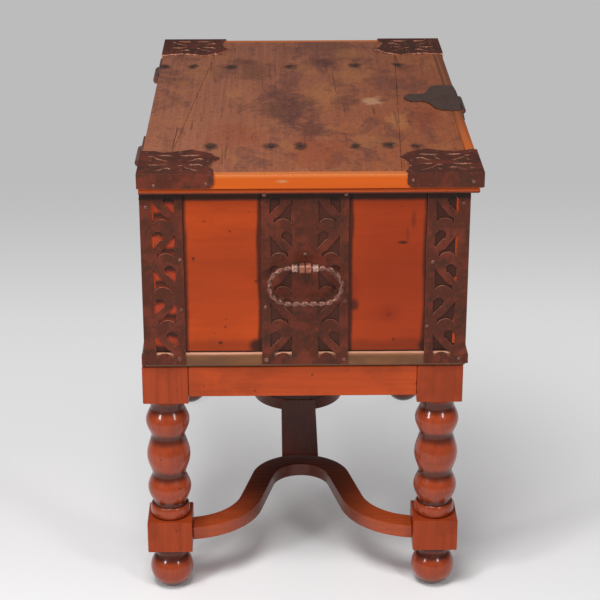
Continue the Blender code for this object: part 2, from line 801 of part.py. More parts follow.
def bent_sheet(name, outlines, bends, place, outward, thickness, finish):
    """Sheet metal: a pierced outline, creased along the bends, folded by place and thickened outward.

    A bend is a point and a direction across the crease. place turns a flat point into its folded place.
    """
    mesh = outline_mesh(name, outlines, 0.0)
    sheet = bmesh.new()
    sheet.from_mesh(mesh)
    for point, across in bends:
        everything = sheet.verts[:] + sheet.edges[:] + sheet.faces[:]
        bmesh.ops.bisect_plane(
            sheet, geom=everything, dist=WELD_SHARE * GAP, plane_co=(*point, 0.0), plane_no=(*across, 0.0)
        )
    for vertex in sheet.verts:
        vertex.co = place(vertex.co.x, vertex.co.y)
    bmesh.ops.remove_doubles(sheet, verts=sheet.verts, dist=WELD_SHARE * GAP)
    sheet.normal_update()
    facing = sum((face.normal.dot(outward) * face.calc_area() for face in sheet.faces), 0.0)
    if facing < 0:
        bmesh.ops.reverse_faces(sheet, faces=sheet.faces)
    bmesh.ops.dissolve_limit(
        sheet,
        angle_limit=FLAT_ANGLE,
        use_dissolve_boundaries=False,
        verts=sheet.verts,
        edges=sheet.edges,
    )
    bmesh.ops.triangulate(sheet, faces=sheet.faces)
    sheet.to_mesh(mesh)
    sheet.free()
    made = new_object(name, mesh, finish)
    solid = made.modifiers.new("sheet thickness", "SOLIDIFY")
    solid.thickness = thickness
    solid.offset = 1.0
    solid.use_even_offset = True
    return made


def step_out(height):
    """How far an iron stands off its board at a height: it steps out over the proud bottom board."""
    share = (IRON_STEP_Z + IRON_STEP_HEIGHT - height) / IRON_STEP_HEIGHT
    return GAP + BOTTOM_PROUD * min(max(share, 0.0), 1.0)


def step_bends():
    return [((0.0, IRON_STEP_Z + IRON_STEP_HEIGHT), (0.0, 1.0)), ((0.0, IRON_STEP_Z), (0.0, 1.0))]


def corner_iron(name, quarter_turns):
    """An iron folded round an upright corner, whose left face is the end's at no quarter turns."""
    turn = Matrix.Rotation(quarter_turns * math.pi / 2, 3, "Z")
    left_normal = turn @ Vector((-1.0, 0.0, 0.0))
    right_normal = turn @ Vector((0.0, -1.0, 0.0))
    corner = left_normal + right_normal
    corner = Vector((corner.x * BODY_LENGTH / 2, MIDDLE_Y + corner.y * BODY_DEPTH / 2, 0.0))

    def place(across, height):
        off = step_out(height)
        from_fold = -left_normal * max(across, 0.0) + right_normal * min(across, 0.0)
        if across <= 0:
            from_fold += left_normal * off
        if across >= 0:
            from_fold += right_normal * off
        return corner + from_fold + Vector((0.0, 0.0, height))

    column = IRON_BOTTOM_Z + SCROLL_FOOT
    openings = scroll_column(
        -CORNER_MARGIN - SCROLL_WIDTH, SCROLL_WIDTH, column, SCROLL_PITCH, SCROLL_COUNT, 1
    )
    openings += scroll_column(CORNER_MARGIN, SCROLL_WIDTH, column, SCROLL_PITCH, SCROLL_COUNT, 1)
    outline = rectangle((-IRON_WIDTH, IRON_BOTTOM_Z), (IRON_WIDTH, IRON_TOP_Z))
    bends = [((0.0, 0.0), (1.0, 0.0))] + step_bends()
    return bent_sheet(
        name, [outline] + openings, bends, place, left_normal + right_normal, IRON_THICKNESS, SHEET_IRON
    )


def shank_hole():
    """Low and high corners, about the middle of an end, of the hole for the shanks of both handle eyes."""
    wide = EYE_OFFSET + EYE_WIDTH / 2 + GAP
    tall = EYE_SHANK_HEIGHT / 2 + GAP
    return (-wide, HANDLE_AXIS_HEIGHT - tall), (wide, HANDLE_AXIS_HEIGHT + tall)


def end_plate(name, side):
    """The wide pierced plate on the middle of an end, which the handle's eyes pass through."""
    normal = Vector((side, 0.0, 0.0))
    right = Vector((0.0, side, 0.0))
    face = Vector((side * BODY_LENGTH / 2, MIDDLE_Y, 0.0))

    def place(across, height):
        return face + right * across + normal * step_out(height) + Vector((0.0, 0.0, height))

    half = END_PLATE_WIDTH / 2
    column = IRON_BOTTOM_Z + SCROLL_FOOT
    left = -half + END_PLATE_MARGIN
    openings = scroll_column(left, SCROLL_WIDTH, column, SCROLL_PITCH, SCROLL_COUNT, -1)
    left = half - END_PLATE_MARGIN - SCROLL_WIDTH
    openings += scroll_column(left, SCROLL_WIDTH, column, SCROLL_PITCH, SCROLL_COUNT, 1)
    openings.append(rectangle(*shank_hole()))
    outline = rectangle((-half, IRON_BOTTOM_Z), (half, IRON_TOP_Z))
    return bent_sheet(
        name, [outline] + openings, step_bends(), place, normal, IRON_THICKNESS, SHEET_IRON
    )


def lid_iron(name, side, depth):
    """A pierced iron over one corner of the lid, turned down over its end and its long edge."""
    top = LID_TOP_Z + GAP

    def place(along_end, along_edge):
        x = side * (LID_LENGTH / 2 + GAP - max(along_edge, 0.0))
        y = depth * (LID_DEPTH / 2 + GAP - max(along_end, 0.0))
        return Vector((x, y, top + min(along_edge, 0.0) + min(along_end, 0.0)))

    arm = LID_IRON_ARM
    flange = LID_IRON_FLANGE
    free_edge = [(arm + out * arm, along * arm) for along, out in LID_IRON_EDGE_SHARES]
    other_edge = [(q, p) for p, q in free_edge[::-1]]
    outline = [(-flange, 0.0), (0.0, 0.0), (0.0, -flange), (arm, -flange)]
    outline += free_edge + other_edge + [(-flange, arm)]
    openings = []
    for index in range(2):
        left = LID_SCROLL_MARGIN + index * LID_SCROLL_SPACING
        openings += scroll_column(
            left, LID_SCROLL_WIDTH, LID_SCROLL_MARGIN / 2, LID_SCROLL_PITCH, 2, (-1) ** index
        )
    bends = [((0.0, 0.0), (1.0, 0.0)), ((0.0, 0.0), (0.0, 1.0))]
    outward = Vector((side, depth, 1.0))
    return bent_sheet(name, [outline] + openings, bends, place, outward, IRON_THICKNESS, SHEET_IRON)


# Handles


def handle_ring_path():
    """Middle line of the oval ring in its own YZ plane, its top bar on the origin."""
    radius = HANDLE_HEIGHT / 2 - HANDLE_ROD_RADIUS
    straight = HANDLE_WIDTH / 2 - HANDLE_HEIGHT / 2
    steps = HANDLE_BEND_STEPS
    path = arc((straight, -radius), (radius, radius), (90.0, -90.0), steps)
    path += arc((-straight, -radius), (radius, radius), (-90.0, -270.0), steps)
    return path


def handle(name, side):
    """A ring of iron rod with a collar at each side of its eyes, hung on its top bar."""
    curve = bpy.data.curves.new(name, "CURVE")
    curve.dimensions = "3D"
    curve.bevel_depth = HANDLE_ROD_RADIUS
    curve.bevel_resolution = HANDLE_ROD_RESOLUTION
    path = handle_ring_path()
    spline = curve.splines.new("POLY")
    spline.points.add(len(path) - 1)
    for point, (y, z) in zip(spline.points, path):
        point.co = (0.0, y, z, 1.0)
    spline.use_cyclic_u = True
    guide = bpy.data.objects.new(f"{name} guide", curve)
    CUTTERS.objects.link(guide)
    mesh = mesh_of(guide)
    bpy.data.objects.remove(guide, do_unlink=True)
    made = new_object(name, mesh, FORGED_IRON)
    made.location = handle_axis(side)
    quarter = math.pi / 2
    for place in (-1, 1):
        profile = [
            (0.0, HANDLE_COLLAR_LENGTH / 2),
            (HANDLE_COLLAR_RADIUS, HANDLE_COLLAR_LENGTH / 2),
            (HANDLE_COLLAR_RADIUS, -HANDLE_COLLAR_LENGTH / 2),
            (0.0, -HANDLE_COLLAR_LENGTH / 2),
        ]
        collar = turned(f"{name} collar {place}", profile, HANDLE_COLLAR_SIDES)
        collar.location = made.location + Vector((0.0, place * HANDLE_COLLAR_OFFSET, 0.0))
        collar.rotation_euler = (quarter, 0.0, 0.0)
        join(made, collar)
    return made


def handle_axis(side):
    x = side * (BODY_LENGTH / 2 + PLATE_FACE + HANDLE_STANDOFF)
    return Vector((x, MIDDLE_Y, HANDLE_AXIS_HEIGHT))


def handle_eye(name, side, place):
    """A forged eye round the handle's bar, its shank through plate and board and clinched inside."""
    axis = handle_axis(side)
    shank = EYE_SHANK_HEIGHT / 2
    inner = BODY_LENGTH / 2 - PANEL_THICKNESS - GAP
    tip = inner - EYE_CLINCH_THICKNESS
    start = math.degrees(math.asin(shank / EYE_RADIUS))
    loop = arc((0.0, 0.0), (EYE_RADIUS, EYE_RADIUS), (180.0 - start, start - 180.0), EYE_STEPS)
    back = abs(axis.x)
    # the clinched end turns down the inner face of the board
    down = -EYE_CLINCH_LENGTH
    outline = [(inner - back, -shank), (inner - back, down), (tip - back, down), (tip - back, shank)]
    outline += loop
    hole = circle((0.0, 0.0), EYE_HOLE_RADIUS, EYE_STEPS)
    placed = []
    for ring in (outline, hole):
        placed.append([(side * (back + x), axis.z + z) for x, z in ring])
    middle = axis.y + place * EYE_OFFSET
    half = EYE_WIDTH / 2
    return plate(name, placed, "XZ", middle - half, middle + half, FORGED_IRON)


# Lid


def board_joints():
    """The y of both joints between the lid's boards at its left and right ends: the boards taper."""
    front = -LID_DEPTH / 2
    back = LID_DEPTH / 2
    return (
        (front + FRONT_BOARD_LEFT + FRONT_MOULDING_WIDTH, front + FRONT_BOARD_RIGHT + FRONT_MOULDING_WIDTH),
        (back - BACK_BOARD_LEFT, back - BACK_BOARD_RIGHT),
    )


def lid_boards():
    end = LID_LENGTH / 2 - END_MOULDING_WIDTH - GAP
    front = -LID_DEPTH / 2 + FRONT_MOULDING_WIDTH + GAP
    back = LID_DEPTH / 2
    first, second = board_joints()
    edges = (
        ((front, front), first),
        (first, second),
        (second, (back, back)),
    )
    pieces = []
    for place, (near, far) in zip(("front", "middle", "back"), edges):
        near_gap = 0.0 if place == "front" else GAP / 2
        far_gap = 0.0 if place == "back" else GAP / 2
        outline = [
            (-end, near[0] + near_gap),
            (end, near[1] + near_gap),
            (end, far[1] - far_gap),
            (-end, far[0] - far_gap),
        ]
        pieces.append(plate(f"lid_board_{place}", [outline], "XY", LID_Z, LID_TOP_Z, LID_WOOD))
    return pieces


def batten(name, x):
    half = BATTEN_WIDTH / 2
    top = LID_Z - GAP
    return box(
        name,
        (x - half, FRONT_Y + PANEL_THICKNESS + BATTEN_END_CLEARANCE, top - BATTEN_THICKNESS),
        (x + half, BACK_Y - PANEL_THICKNESS - BATTEN_END_CLEARANCE, top),
        LID_WOOD,
        BATTEN_CHAMFER,
    )


def moulding_section(width, overhang):
    """Section of an edge moulding as (distance in from the outer face, height): fascia, quirk and bead."""
    lip = overhang - PLATE_FACE - LIP_CLEARANCE
    bead_top = LID_Z - QUIRK_HEIGHT
    bead_bottom = LID_Z - BEAD_HEIGHT
    middle = (bead_top + bead_bottom) / 2
    half = (bead_top - bead_bottom) / 2
    bead = arc((BEAD_INSET + half, middle), (half, half), (90.0, 270.0), BEAD_STEPS)
    shelf = LID_Z - GAP
    return (
        [(width, LID_TOP_Z), (0.0, LID_TOP_Z), (0.0, LID_Z), (QUIRK_DEPTH, LID_Z), (QUIRK_DEPTH, bead_top)]
        + bead[1:]
        + [(lip, bead_bottom), (lip, shelf), (width, shelf)]
    )


def mitred_moulding(name, section, place, length_range, mitres, finish):
    """A moulding swept between two cuts: each end leans by a slope times the distance from the outer face.

    place turns (distance in, height, along) into a point.
    """
    mesh = bpy.data.meshes.new(name)
    count = len(section)
    points = []
    for end, slope in zip(length_range, mitres):
        points += [place(inward, height, end + slope * inward) for inward, height in section]
    loft = bmesh.new()
    rows = [[loft.verts.new(points[row * count + i]) for i in range(count)] for row in range(2)]
    for i in range(count):
        j = (i + 1) % count
        loft.faces.new((rows[0][i], rows[0][j], rows[1][j], rows[1][i]))
    loft.faces.new(rows[0])
    loft.faces.new(rows[1][::-1])
    bmesh.ops.recalc_face_normals(loft, faces=loft.faces)
    loft.to_mesh(mesh)
    loft.free()
    return new_object(name, mesh, finish)


def mouldings():
    half_length = LID_LENGTH / 2
    front = -LID_DEPTH / 2
    mitre = END_MOULDING_WIDTH / FRONT_MOULDING_WIDTH
    section = moulding_section(FRONT_MOULDING_WIDTH, FRONT_OVERHANG)

    def front_place(inward, height, along):
        return Vector((along, front + inward, height))

    span = (-half_length + GAP, half_length - GAP)
    pieces = [
        mitred_moulding("lid_moulding_front", section, front_place, span, (mitre, -mitre), MOULDING_WOOD)
    ]
    section = moulding_section(END_MOULDING_WIDTH, END_OVERHANG)
    for side_name, side in SIDES.items():

        def end_place(inward, height, along, side=side):
            return Vector((side * (half_length - inward), along, height))

        span = (front + GAP, LID_DEPTH / 2)
        name = f"lid_moulding_{side_name}"
        pieces.append(mitred_moulding(name, section, end_place, span, (1 / mitre, 0.0), MOULDING_WOOD))
    return pieces


# Hinges


def knuckle_spans(centre):
    """Low and high x of a hinge's knuckles, from left to right, with a gap between neighbours."""
    width = HINGE_WIDTH / KNUCKLE_COUNT
    start = centre - HINGE_WIDTH / 2
    half_gap = KNUCKLE_GAP / 2
    return [(start + i * width + half_gap, start + (i + 1) * width - half_gap) for i in range(KNUCKLE_COUNT)]


def add_knuckle(leaf, span, leaf_y, root):
    """A knuckle on the hinge's axis, with the tongue of sheet that runs to it from the leaf."""
    low, high = span
    axis = (HINGE_AXIS.y, HINGE_AXIS.z)
    bottom, top = between(HINGE_AXIS.z, root)
    face = leaf_y + HINGE_SHEET - GAP
    tongue = box(f"{leaf.name} tongue", (low, leaf_y, bottom), (high, face, top))
    knuckle = barrel(f"{leaf.name} knuckle", KNUCKLE_RADIUS, low + GAP, high - GAP, axis, KNUCKLE_SIDES)
    join(leaf, tongue, knuckle)


def hinge(side_name, side):
    """Two leaves and a pin: the long strap is nailed to the back board, the short leaf to the lid's edge."""
    x = side * (BODY_LENGTH / 2 - HINGE_FROM_END)
    axis = (HINGE_AXIS.y, HINGE_AXIS.z)
    spans = knuckle_spans(x)
    half = HINGE_WIDTH / 2
    reach = KNUCKLE_RADIUS + HINGE_SWEEP_CLEARANCE
    strap_y = BACK_Y + GAP
    neck = half * HINGE_STRAP_NECK_SHARE
    tip = half * HINGE_STRAP_TIP_SHARE
    shoulder = HINGE_AXIS.z - reach
    foot = shoulder - HINGE_STRAP_HEIGHT
    bend = shoulder - HINGE_STRAP_HEIGHT * HINGE_STRAP_NECK_SHARE
    outline = [
        (x - tip, foot),
        (x + tip, foot),
        (x + neck, bend),
        (x + half, shoulder - reach),
        (x + half, shoulder),
        (x - half, shoulder),
        (x - half, shoulder - reach),
        (x - neck, bend),
    ]
    strap = plate(f"hinge_strap_{side_name}", [outline], "XZ", strap_y, strap_y + HINGE_SHEET, FORGED_IRON)
    for index in (0, 2):
        add_knuckle(strap, spans[index], strap_y, shoulder - reach)
    bore_span = (x - half - OVERRUN, x + half + OVERRUN)
    bore = barrel(f"{strap.name} bore", HINGE_PIN_RADIUS + GAP, *bore_span, axis, KNUCKLE_SIDES)
    cut(strap, bore)

    leaf_y = LID_DEPTH / 2 + GAP
    leaf = box(
        f"hinge_leaf_{side_name}",
        (x - half, leaf_y, HINGE_AXIS.z + reach),
        (x + half, leaf_y + HINGE_SHEET, LID_TOP_Z - GAP),
        FORGED_IRON,
    )
    add_knuckle(leaf, spans[1], leaf_y, HINGE_AXIS.z + 2 * reach)
    cut(leaf, bore)

    name = f"hinge_pin_{side_name}"
    pin = barrel(name, HINGE_PIN_RADIUS, x - half, x + half, axis, KNUCKLE_SIDES, FORGED_IRON)
    return strap, leaf, pin


# Hasp and lock


def hasp_leaf():
    """The lobed leaf nailed on the lid, turned down over the front edge to two knuckles."""
    front = -LID_DEPTH / 2 - GAP
    top = LID_TOP_Z + GAP
    drop = top - HASP_AXIS.z
    half = HASP_KNUCKLE_LENGTH * 3 / 2
    middle = HASP_KNUCKLE_LENGTH / 2
    right = [(share * HASP_LEAF_HALF_WIDTH, along * HASP_LEAF_LENGTH) for along, share in HASP_LEAF_SHARES]
    left = [(-x, y) for x, y in right[::-1]]
    flap = HASP_KNUCKLE_RADIUS + HINGE_SWEEP_CLEARANCE
    outline = [
        (-half, 0.0),
        (-half, -drop),
        (-middle - KNUCKLE_GAP / 2, -drop),
        (-middle - KNUCKLE_GAP / 2, -drop + flap),
        (middle + KNUCKLE_GAP / 2, -drop + flap),
        (middle + KNUCKLE_GAP / 2, -drop),
        (half, -drop),
        (half, 0.0),
    ]
    outline += right + [(0.0, HASP_LEAF_LENGTH)] + left

    def place(across, along):
        return Vector((across, front + max(along, 0.0), top + min(along, 0.0)))

    bends = [((0.0, 0.0), (0.0, 1.0))]
    leaf = bent_sheet(
        "hasp_leaf", [outline], bends, place, Vector((0.0, -1.0, 1.0)), IRON_THICKNESS, SHEET_IRON
    )
    axis = (HASP_AXIS.y, HASP_AXIS.z)
    for place_name, sign in SIDES.items():
        low, high = between(sign * (half - GAP), sign * (middle + KNUCKLE_GAP / 2 + GAP))
        name = f"hasp_leaf {place_name} knuckle"
        join(leaf, barrel(name, HASP_KNUCKLE_RADIUS, low, high, axis, KNUCKLE_SIDES))
    cut(leaf, hasp_bore(half))
    pin = barrel("hasp_pin", HASP_PIN_RADIUS, -half, half, axis, KNUCKLE_SIDES, FORGED_IRON)
    return leaf, pin


def hasp_bore(half):
    axis = (HASP_AXIS.y, HASP_AXIS.z)
    radius = HASP_PIN_RADIUS + GAP
    return barrel("hasp bore", radius, -half - OVERRUN, half + OVERRUN, axis, KNUCKLE_SIDES)


def hasp_strap():
    """The swinging strap: its side view, which steps back over the lid's overhang, cut to its front view.

    It is drawn latched, about its pin, and then hung at the angle where its weight lies under the pin.
    """
    thick = HASP_THICKNESS / 2
    back = LOCK_FACE_Y - GAP - HASP_AXIS.y - thick
    step_top = -HASP_NECK_DROP
    step_bottom = step_top - HASP_STEP_DROP
    foot = -HASP_LENGTH
    middle_line = [
        (0.0, 0.0),
        (0.0, step_top),
        (back, step_bottom),
        (back, foot + HASP_TIP_HEIGHT),
        (back - HASP_TIP_LIFT, foot),
    ]
    side_view = [(y + thick, z) for y, z in middle_line] + [(y - thick, z) for y, z in middle_line[::-1]]
    wide = HASP_HALF_WIDTH + OVERRUN
    strap = plate("hasp_strap", [side_view], "YZ", -wide, wide, SHEET_IRON)
    right = [(share * HASP_HALF_WIDTH, -along * HASP_LENGTH) for along, share in HASP_OUTLINE_SHARES]
    left = [(-x, z) for x, z in right[::-1]]
    front_view = plate("hasp_strap front view", [right + left], "XZ", -HASP_LENGTH, HASP_LENGTH)
    combine(strap, front_view, "INTERSECT")
    middle = HASP_KNUCKLE_LENGTH / 2 - KNUCKLE_GAP / 2
    knuckle = barrel("hasp_strap knuckle", HASP_KNUCKLE_RADIUS, -middle, middle, (0.0, 0.0), KNUCKLE_SIDES)
    face = back + thick
    tip = face + STAPLE_REACH
    half = STAPLE_HEIGHT / 2
    low = -STAPLE_DROP - half
    high = -STAPLE_DROP + half
    outline = [(back, low), (tip - STAPLE_ROUNDING, low), (tip, low + STAPLE_ROUNDING)]
    outline += [(tip, high - STAPLE_ROUNDING), (tip - STAPLE_ROUNDING, high), (back, high)]
    hole_low = face + STAPLE_REACH - STAPLE_HOLE_REACH
    hole_half = STAPLE_HOLE_HEIGHT / 2
    hole = rectangle(
        (hole_low, -STAPLE_DROP - hole_half), (hole_low + STAPLE_HOLE_DEPTH, -STAPLE_DROP + hole_half)
    )
    half_thick = STAPLE_THICKNESS / 2
    staple = plate("hasp_strap staple", [outline, hole], "YZ", -half_thick, half_thick)
    join(strap, knuckle, staple)
    ends = (-middle - OVERRUN, middle + OVERRUN)
    bore = barrel("hasp_strap bore", HASP_PIN_RADIUS + GAP, *ends, (0.0, 0.0), KNUCKLE_SIDES)
    cut(strap, bore)
    frame = bpy.data.objects.new("hasp_swing", None)
    CHEST_ON_STAND.objects.link(frame)
    for piece in (strap, front_view, knuckle, staple, bore):
        piece.parent = frame
    frame.location = HASP_AXIS
    frame.rotation_euler = (-HASP_REST_ANGLE, 0.0, 0.0)
    return strap


def lock_plate():
    half_width = LOCK_PLATE_WIDTH / 2
    half_height = LOCK_PLATE_HEIGHT / 2
    corner = LOCK_PLATE_CORNER
    outline = [
        (half_width, LOCK_Z + half_height),
        (-half_width, LOCK_Z + half_height),
        (-half_width, LOCK_Z - half_height + corner),
        (-half_width + corner, LOCK_Z - half_height),
        (half_width - corner, LOCK_Z - half_height),
        (half_width, LOCK_Z - half_height + corner),
    ]
    slot = rectangle(
        (-LOCK_SLOT_WIDTH / 2, LOCK_Z - STAPLE_HEIGHT / 2 - LOCK_SLOT_BELOW),
        (LOCK_SLOT_WIDTH / 2, LOCK_Z + STAPLE_HEIGHT / 2 + LOCK_SLOT_ABOVE),
    )
    key_z = LOCK_Z - KEYHOLE_DROP
    leg_half = KEYHOLE_LEG_WIDTH / 2
    start = math.degrees(math.asin(leg_half / KEYHOLE_RADIUS))
    round_part = (KEYHOLE_RADIUS, KEYHOLE_RADIUS)
    keyhole = arc((0.0, key_z), round_part, (start - 90.0, 270.0 - start), KEYHOLE_STEPS)
    keyhole += [(-leg_half, key_z - KEYHOLE_LEG_LENGTH), (leg_half, key_z - KEYHOLE_LEG_LENGTH)]
    back = LOCK_FACE_Y + IRON_THICKNESS
    return plate("lock_plate", [outline, slot, keyhole], "XZ", LOCK_FACE_Y, back, SHEET_IRON)


def lock_box_corners(shrink):
    """Corners of the lock's pocket in the front board, drawn in by a gap on its sides and back."""
    half = LOCK_CASE_WIDTH / 2 - shrink
    return (
        (-half, FRONT_Y, LOCK_CASE_Z - LOCK_CASE_HEIGHT / 2 + shrink),
        (half, FRONT_Y + LOCK_POCKET_DEPTH - shrink, LOCK_CASE_Z + LOCK_CASE_HEIGHT / 2 - shrink),
    )


def lock_case():
    low, high = lock_box_corners(GAP)
    made = box("lock_case", low, high, SHEET_IRON)
    wall = Vector((LOCK_CASE_WALL,) * 3)
    hollow = box("lock_case hollow", Vector(low) + wall - Vector((0.0, OVERRUN, 0.0)), Vector(high) - wall)
    cut(made, hollow)
    return made


def bolt_faces():
    """Front and back y of the bolt: it runs through the middle of the staple's hole."""
    tip = LOCK_FACE_Y - GAP + STAPLE_REACH
    middle = tip - STAPLE_HOLE_REACH + STAPLE_HOLE_DEPTH / 2
    return middle - BOLT_DEPTH / 2, middle + BOLT_DEPTH / 2


def lock_bolt():
    front, back = bolt_faces()
    half = BOLT_HEIGHT / 2
    right = -STAPLE_THICKNESS / 2 - BOLT_INSET
    return box(
        "lock_bolt", (right - BOLT_LENGTH, front, LOCK_Z - half), (right, back, LOCK_Z + half), FORGED_IRON
    )


def bolt_guide(case):
    """Two lips that rise from the case's back under and over the bolt, and hold it in line."""
    front, back = bolt_faces()
    half = BOLT_HEIGHT / 2
    right = -STAPLE_THICKNESS / 2 - BOLT_INSET
    middle = right - BOLT_LENGTH / 2
    wide = BOLT_GUIDE_LENGTH / 2
    floor = FRONT_Y + LOCK_POCKET_DEPTH - GAP
    guide = box(
        "lock_case guide",
        (middle - wide, front, LOCK_Z - half - GAP - LOCK_CASE_WALL),
        (middle + wide, floor - LOCK_CASE_WALL / 2, LOCK_Z + half + GAP + LOCK_CASE_WALL),
    )
    passage = box(
        "lock_case bolt passage",
        (middle - wide - OVERRUN, front - OVERRUN, LOCK_Z - half - GAP),
        (middle + wide + OVERRUN, back + GAP, LOCK_Z + half + GAP),
    )
    join(case, guide)
    cut(case, passage)


# Assembly


def carried(name, place, pieces):
    """An empty on a body's joint axis that carries the body's pieces, which keep their places."""
    carrier = bpy.data.objects.new(name, None)
    CHEST_ON_STAND.objects.link(carrier)
    carrier.location = place
    bpy.context.view_layer.update()
    for piece in pieces:
        if piece.parent is None:
            piece.parent = carrier
            piece.matrix_parent_inverse = carrier.matrix_world.inverted()
    return carrier


def chest_pieces():
    panels = [
        long_panel("front_panel", DEPTHS["front"]),
        long_panel("back_panel", DEPTHS["back"]),
        bottom_board(),
    ]
    cut(panels[0], box("lock pocket", *pocket_corners()))
    pieces = list(panels)
    for side_name, side in SIDES.items():
        pieces.append(end_panel(f"{side_name}_end_panel", side))
        pieces.append(end_plate(f"end_plate_{side_name}", side))
        for eye_name, place in DEPTHS.items():
            pieces.append(handle_eye(f"handle_eye_{side_name}_{eye_name}", side, place))
    for quarter_turns, corner in enumerate(("front_left", "front_right", "back_right", "back_left")):
        pieces.append(corner_iron(f"corner_iron_{corner}", quarter_turns))
    case = lock_case()
    bolt_guide(case)
    return pieces + [lock_plate(), case]


def pocket_corners():
    low, high = lock_box_corners(0.0)
    return Vector(low) - Vector((0.0, OVERRUN, 0.0)), high


def lid_pieces():
    pieces = lid_boards() + mouldings()
    pieces.append(batten("lid_batten_left", LEFT_BATTEN_FROM_END - BODY_LENGTH / 2))
    pieces.append(batten("lid_batten_right", BODY_LENGTH / 2 - RIGHT_BATTEN_FROM_END))
    for depth_name, depth in DEPTHS.items():
        for side_name, side in SIDES.items():
            pieces.append(lid_iron(f"lid_iron_{depth_name}_{side_name}", side, depth))
    return pieces + list(hasp_leaf())


def shade_round_pieces():
    for item in CHEST_ON_STAND.objects:
        if item.type == "MESH":
            item.data.shade_smooth()
            item.data.set_sharp_from_angle(angle=SHARP_ANGLE)


def build():
    carried("stand", (0.0, MIDDLE_Y, 0.0), stand_pieces())
    chest = chest_pieces()
    lid = lid_pieces()
    for side_name, side in SIDES.items():
        strap, leaf, pin = hinge(side_name, side)
        chest += [strap, pin]
        lid.append(leaf)
    chest_carrier = carried("chest", (0.0, MIDDLE_Y, STAND_HEIGHT), chest)
    lid_carrier = carried("lid", HINGE_AXIS, lid)
    hasp_strap()
    moving = [lid_carrier, lock_bolt(), bpy.data.objects["hasp_swing"]]
    moving += [handle(f"handle_{side_name}", side) for side_name, side in SIDES.items()]
    bpy.context.view_layer.update()
    for piece in moving:
        carrier = lid_carrier if piece.name == "hasp_swing" else chest_carrier
        piece.parent = carrier
        piece.matrix_parent_inverse = carrier.matrix_world.inverted()
    shade_round_pieces()


build()
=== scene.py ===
"""Looks of an iron-bound board chest on its bobbin-turned stand, made around its own boards and joints.

Metres. +X runs along the chest to its right end, the front faces -Y and the feet stand on z = 0.
"""

import math
import random
from contextlib import contextmanager

import bmesh
import bpy
from bpy.props import FloatProperty, FloatVectorProperty, IntProperty, PointerProperty
from bpy.types import Operator, Panel, PropertyGroup
from mathutils import Matrix, Vector


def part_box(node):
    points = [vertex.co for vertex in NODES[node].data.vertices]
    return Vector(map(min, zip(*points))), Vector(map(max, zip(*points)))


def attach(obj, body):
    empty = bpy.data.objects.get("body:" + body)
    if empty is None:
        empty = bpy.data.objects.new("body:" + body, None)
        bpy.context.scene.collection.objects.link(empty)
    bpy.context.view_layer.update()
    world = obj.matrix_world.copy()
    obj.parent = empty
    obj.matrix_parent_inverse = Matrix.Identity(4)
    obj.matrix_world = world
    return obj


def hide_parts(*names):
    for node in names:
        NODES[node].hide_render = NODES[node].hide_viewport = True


bl_info = {
    "name": "Chest on Stand",
    "version": (1, 0, 0),
    "blender": (4, 5, 0),
    "location": "3D View > Sidebar > Chest",
    "description": "Dresses an iron-bound chest on a turned stand in wood, pierced iron and nails",
    "category": "Object",
}

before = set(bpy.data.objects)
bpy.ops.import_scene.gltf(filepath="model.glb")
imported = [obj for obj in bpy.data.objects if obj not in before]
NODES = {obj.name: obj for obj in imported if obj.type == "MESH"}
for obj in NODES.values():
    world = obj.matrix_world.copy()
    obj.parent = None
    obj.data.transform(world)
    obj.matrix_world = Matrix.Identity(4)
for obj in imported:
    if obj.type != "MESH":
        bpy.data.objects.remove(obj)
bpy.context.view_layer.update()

SIDES = {"left": -1, "right": 1}
DEPTHS = {"front": -1, "back": 1}
GAP = 0.0003
WELD = 0.00002
OVERRUN = 0.004
QUARTER = math.pi / 2
FLAT_ANGLE = math.radians(1.0)
SMOOTH_ANGLE = math.radians(35.0)

# Places read off the chest's own pieces
END_LOW, END_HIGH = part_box("left_end_panel")
CHEST_END = -END_LOW.x
FRONT_Y = END_LOW.y
BACK_Y = END_HIGH.y
MIDDLE_Y = (FRONT_Y + BACK_Y) / 2
PLATE_LOW, PLATE_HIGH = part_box("end_plate_left")
IRON_LOW_Z = PLATE_LOW.z
IRON_HIGH_Z = PLATE_HIGH.z
BOTTOM_LOW, BOTTOM_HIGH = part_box("bottom_board")
LID_LOW = Vector(
    (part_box("lid_moulding_left")[0].x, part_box("lid_moulding_front")[0].y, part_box("lid_board_middle")[0].z)
)
LID_HIGH = Vector((-LID_LOW.x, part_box("lid_board_back")[1].y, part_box("lid_board_middle")[1].z))
LEG_LOW, LEG_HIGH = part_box("leg_front_left")
STAND_Y = (LEG_LOW.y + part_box("leg_back_left")[1].y) / 2
LEG_X = -(LEG_LOW.x + LEG_HIGH.x) / 2
LEG_Y = STAND_Y - (LEG_LOW.y + LEG_HIGH.y) / 2
STAND_TOP = LEG_HIGH.z
LEG_BLOCKS = ((0.0735, 0.1265), (0.333, STAND_TOP))
BLOCK = LEG_HIGH.x - LEG_LOW.x
STRETCHER_LOW, STRETCHER_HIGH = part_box("stretcher_left")
CENTRE_LOW, CENTRE_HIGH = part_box("stretcher_centre")


def tone(red, green, blue):
    """A colour given as it looks on a screen, 0 to 255, as linear light."""
    shares = [value / 255 for value in (red, green, blue)]
    return tuple(s / 12.92 if s <= 0.04045 else ((s + 0.055) / 1.055) ** 2.4 for s in shares)


def length(name, description, default):
    return FloatProperty(name=name, description=description, default=default, min=0.0, unit="LENGTH")


def colour(name, description, default):
    return FloatVectorProperty(
        name=name, description=description, default=default, size=3, min=0.0, max=1.0, subtype="COLOR"
    )


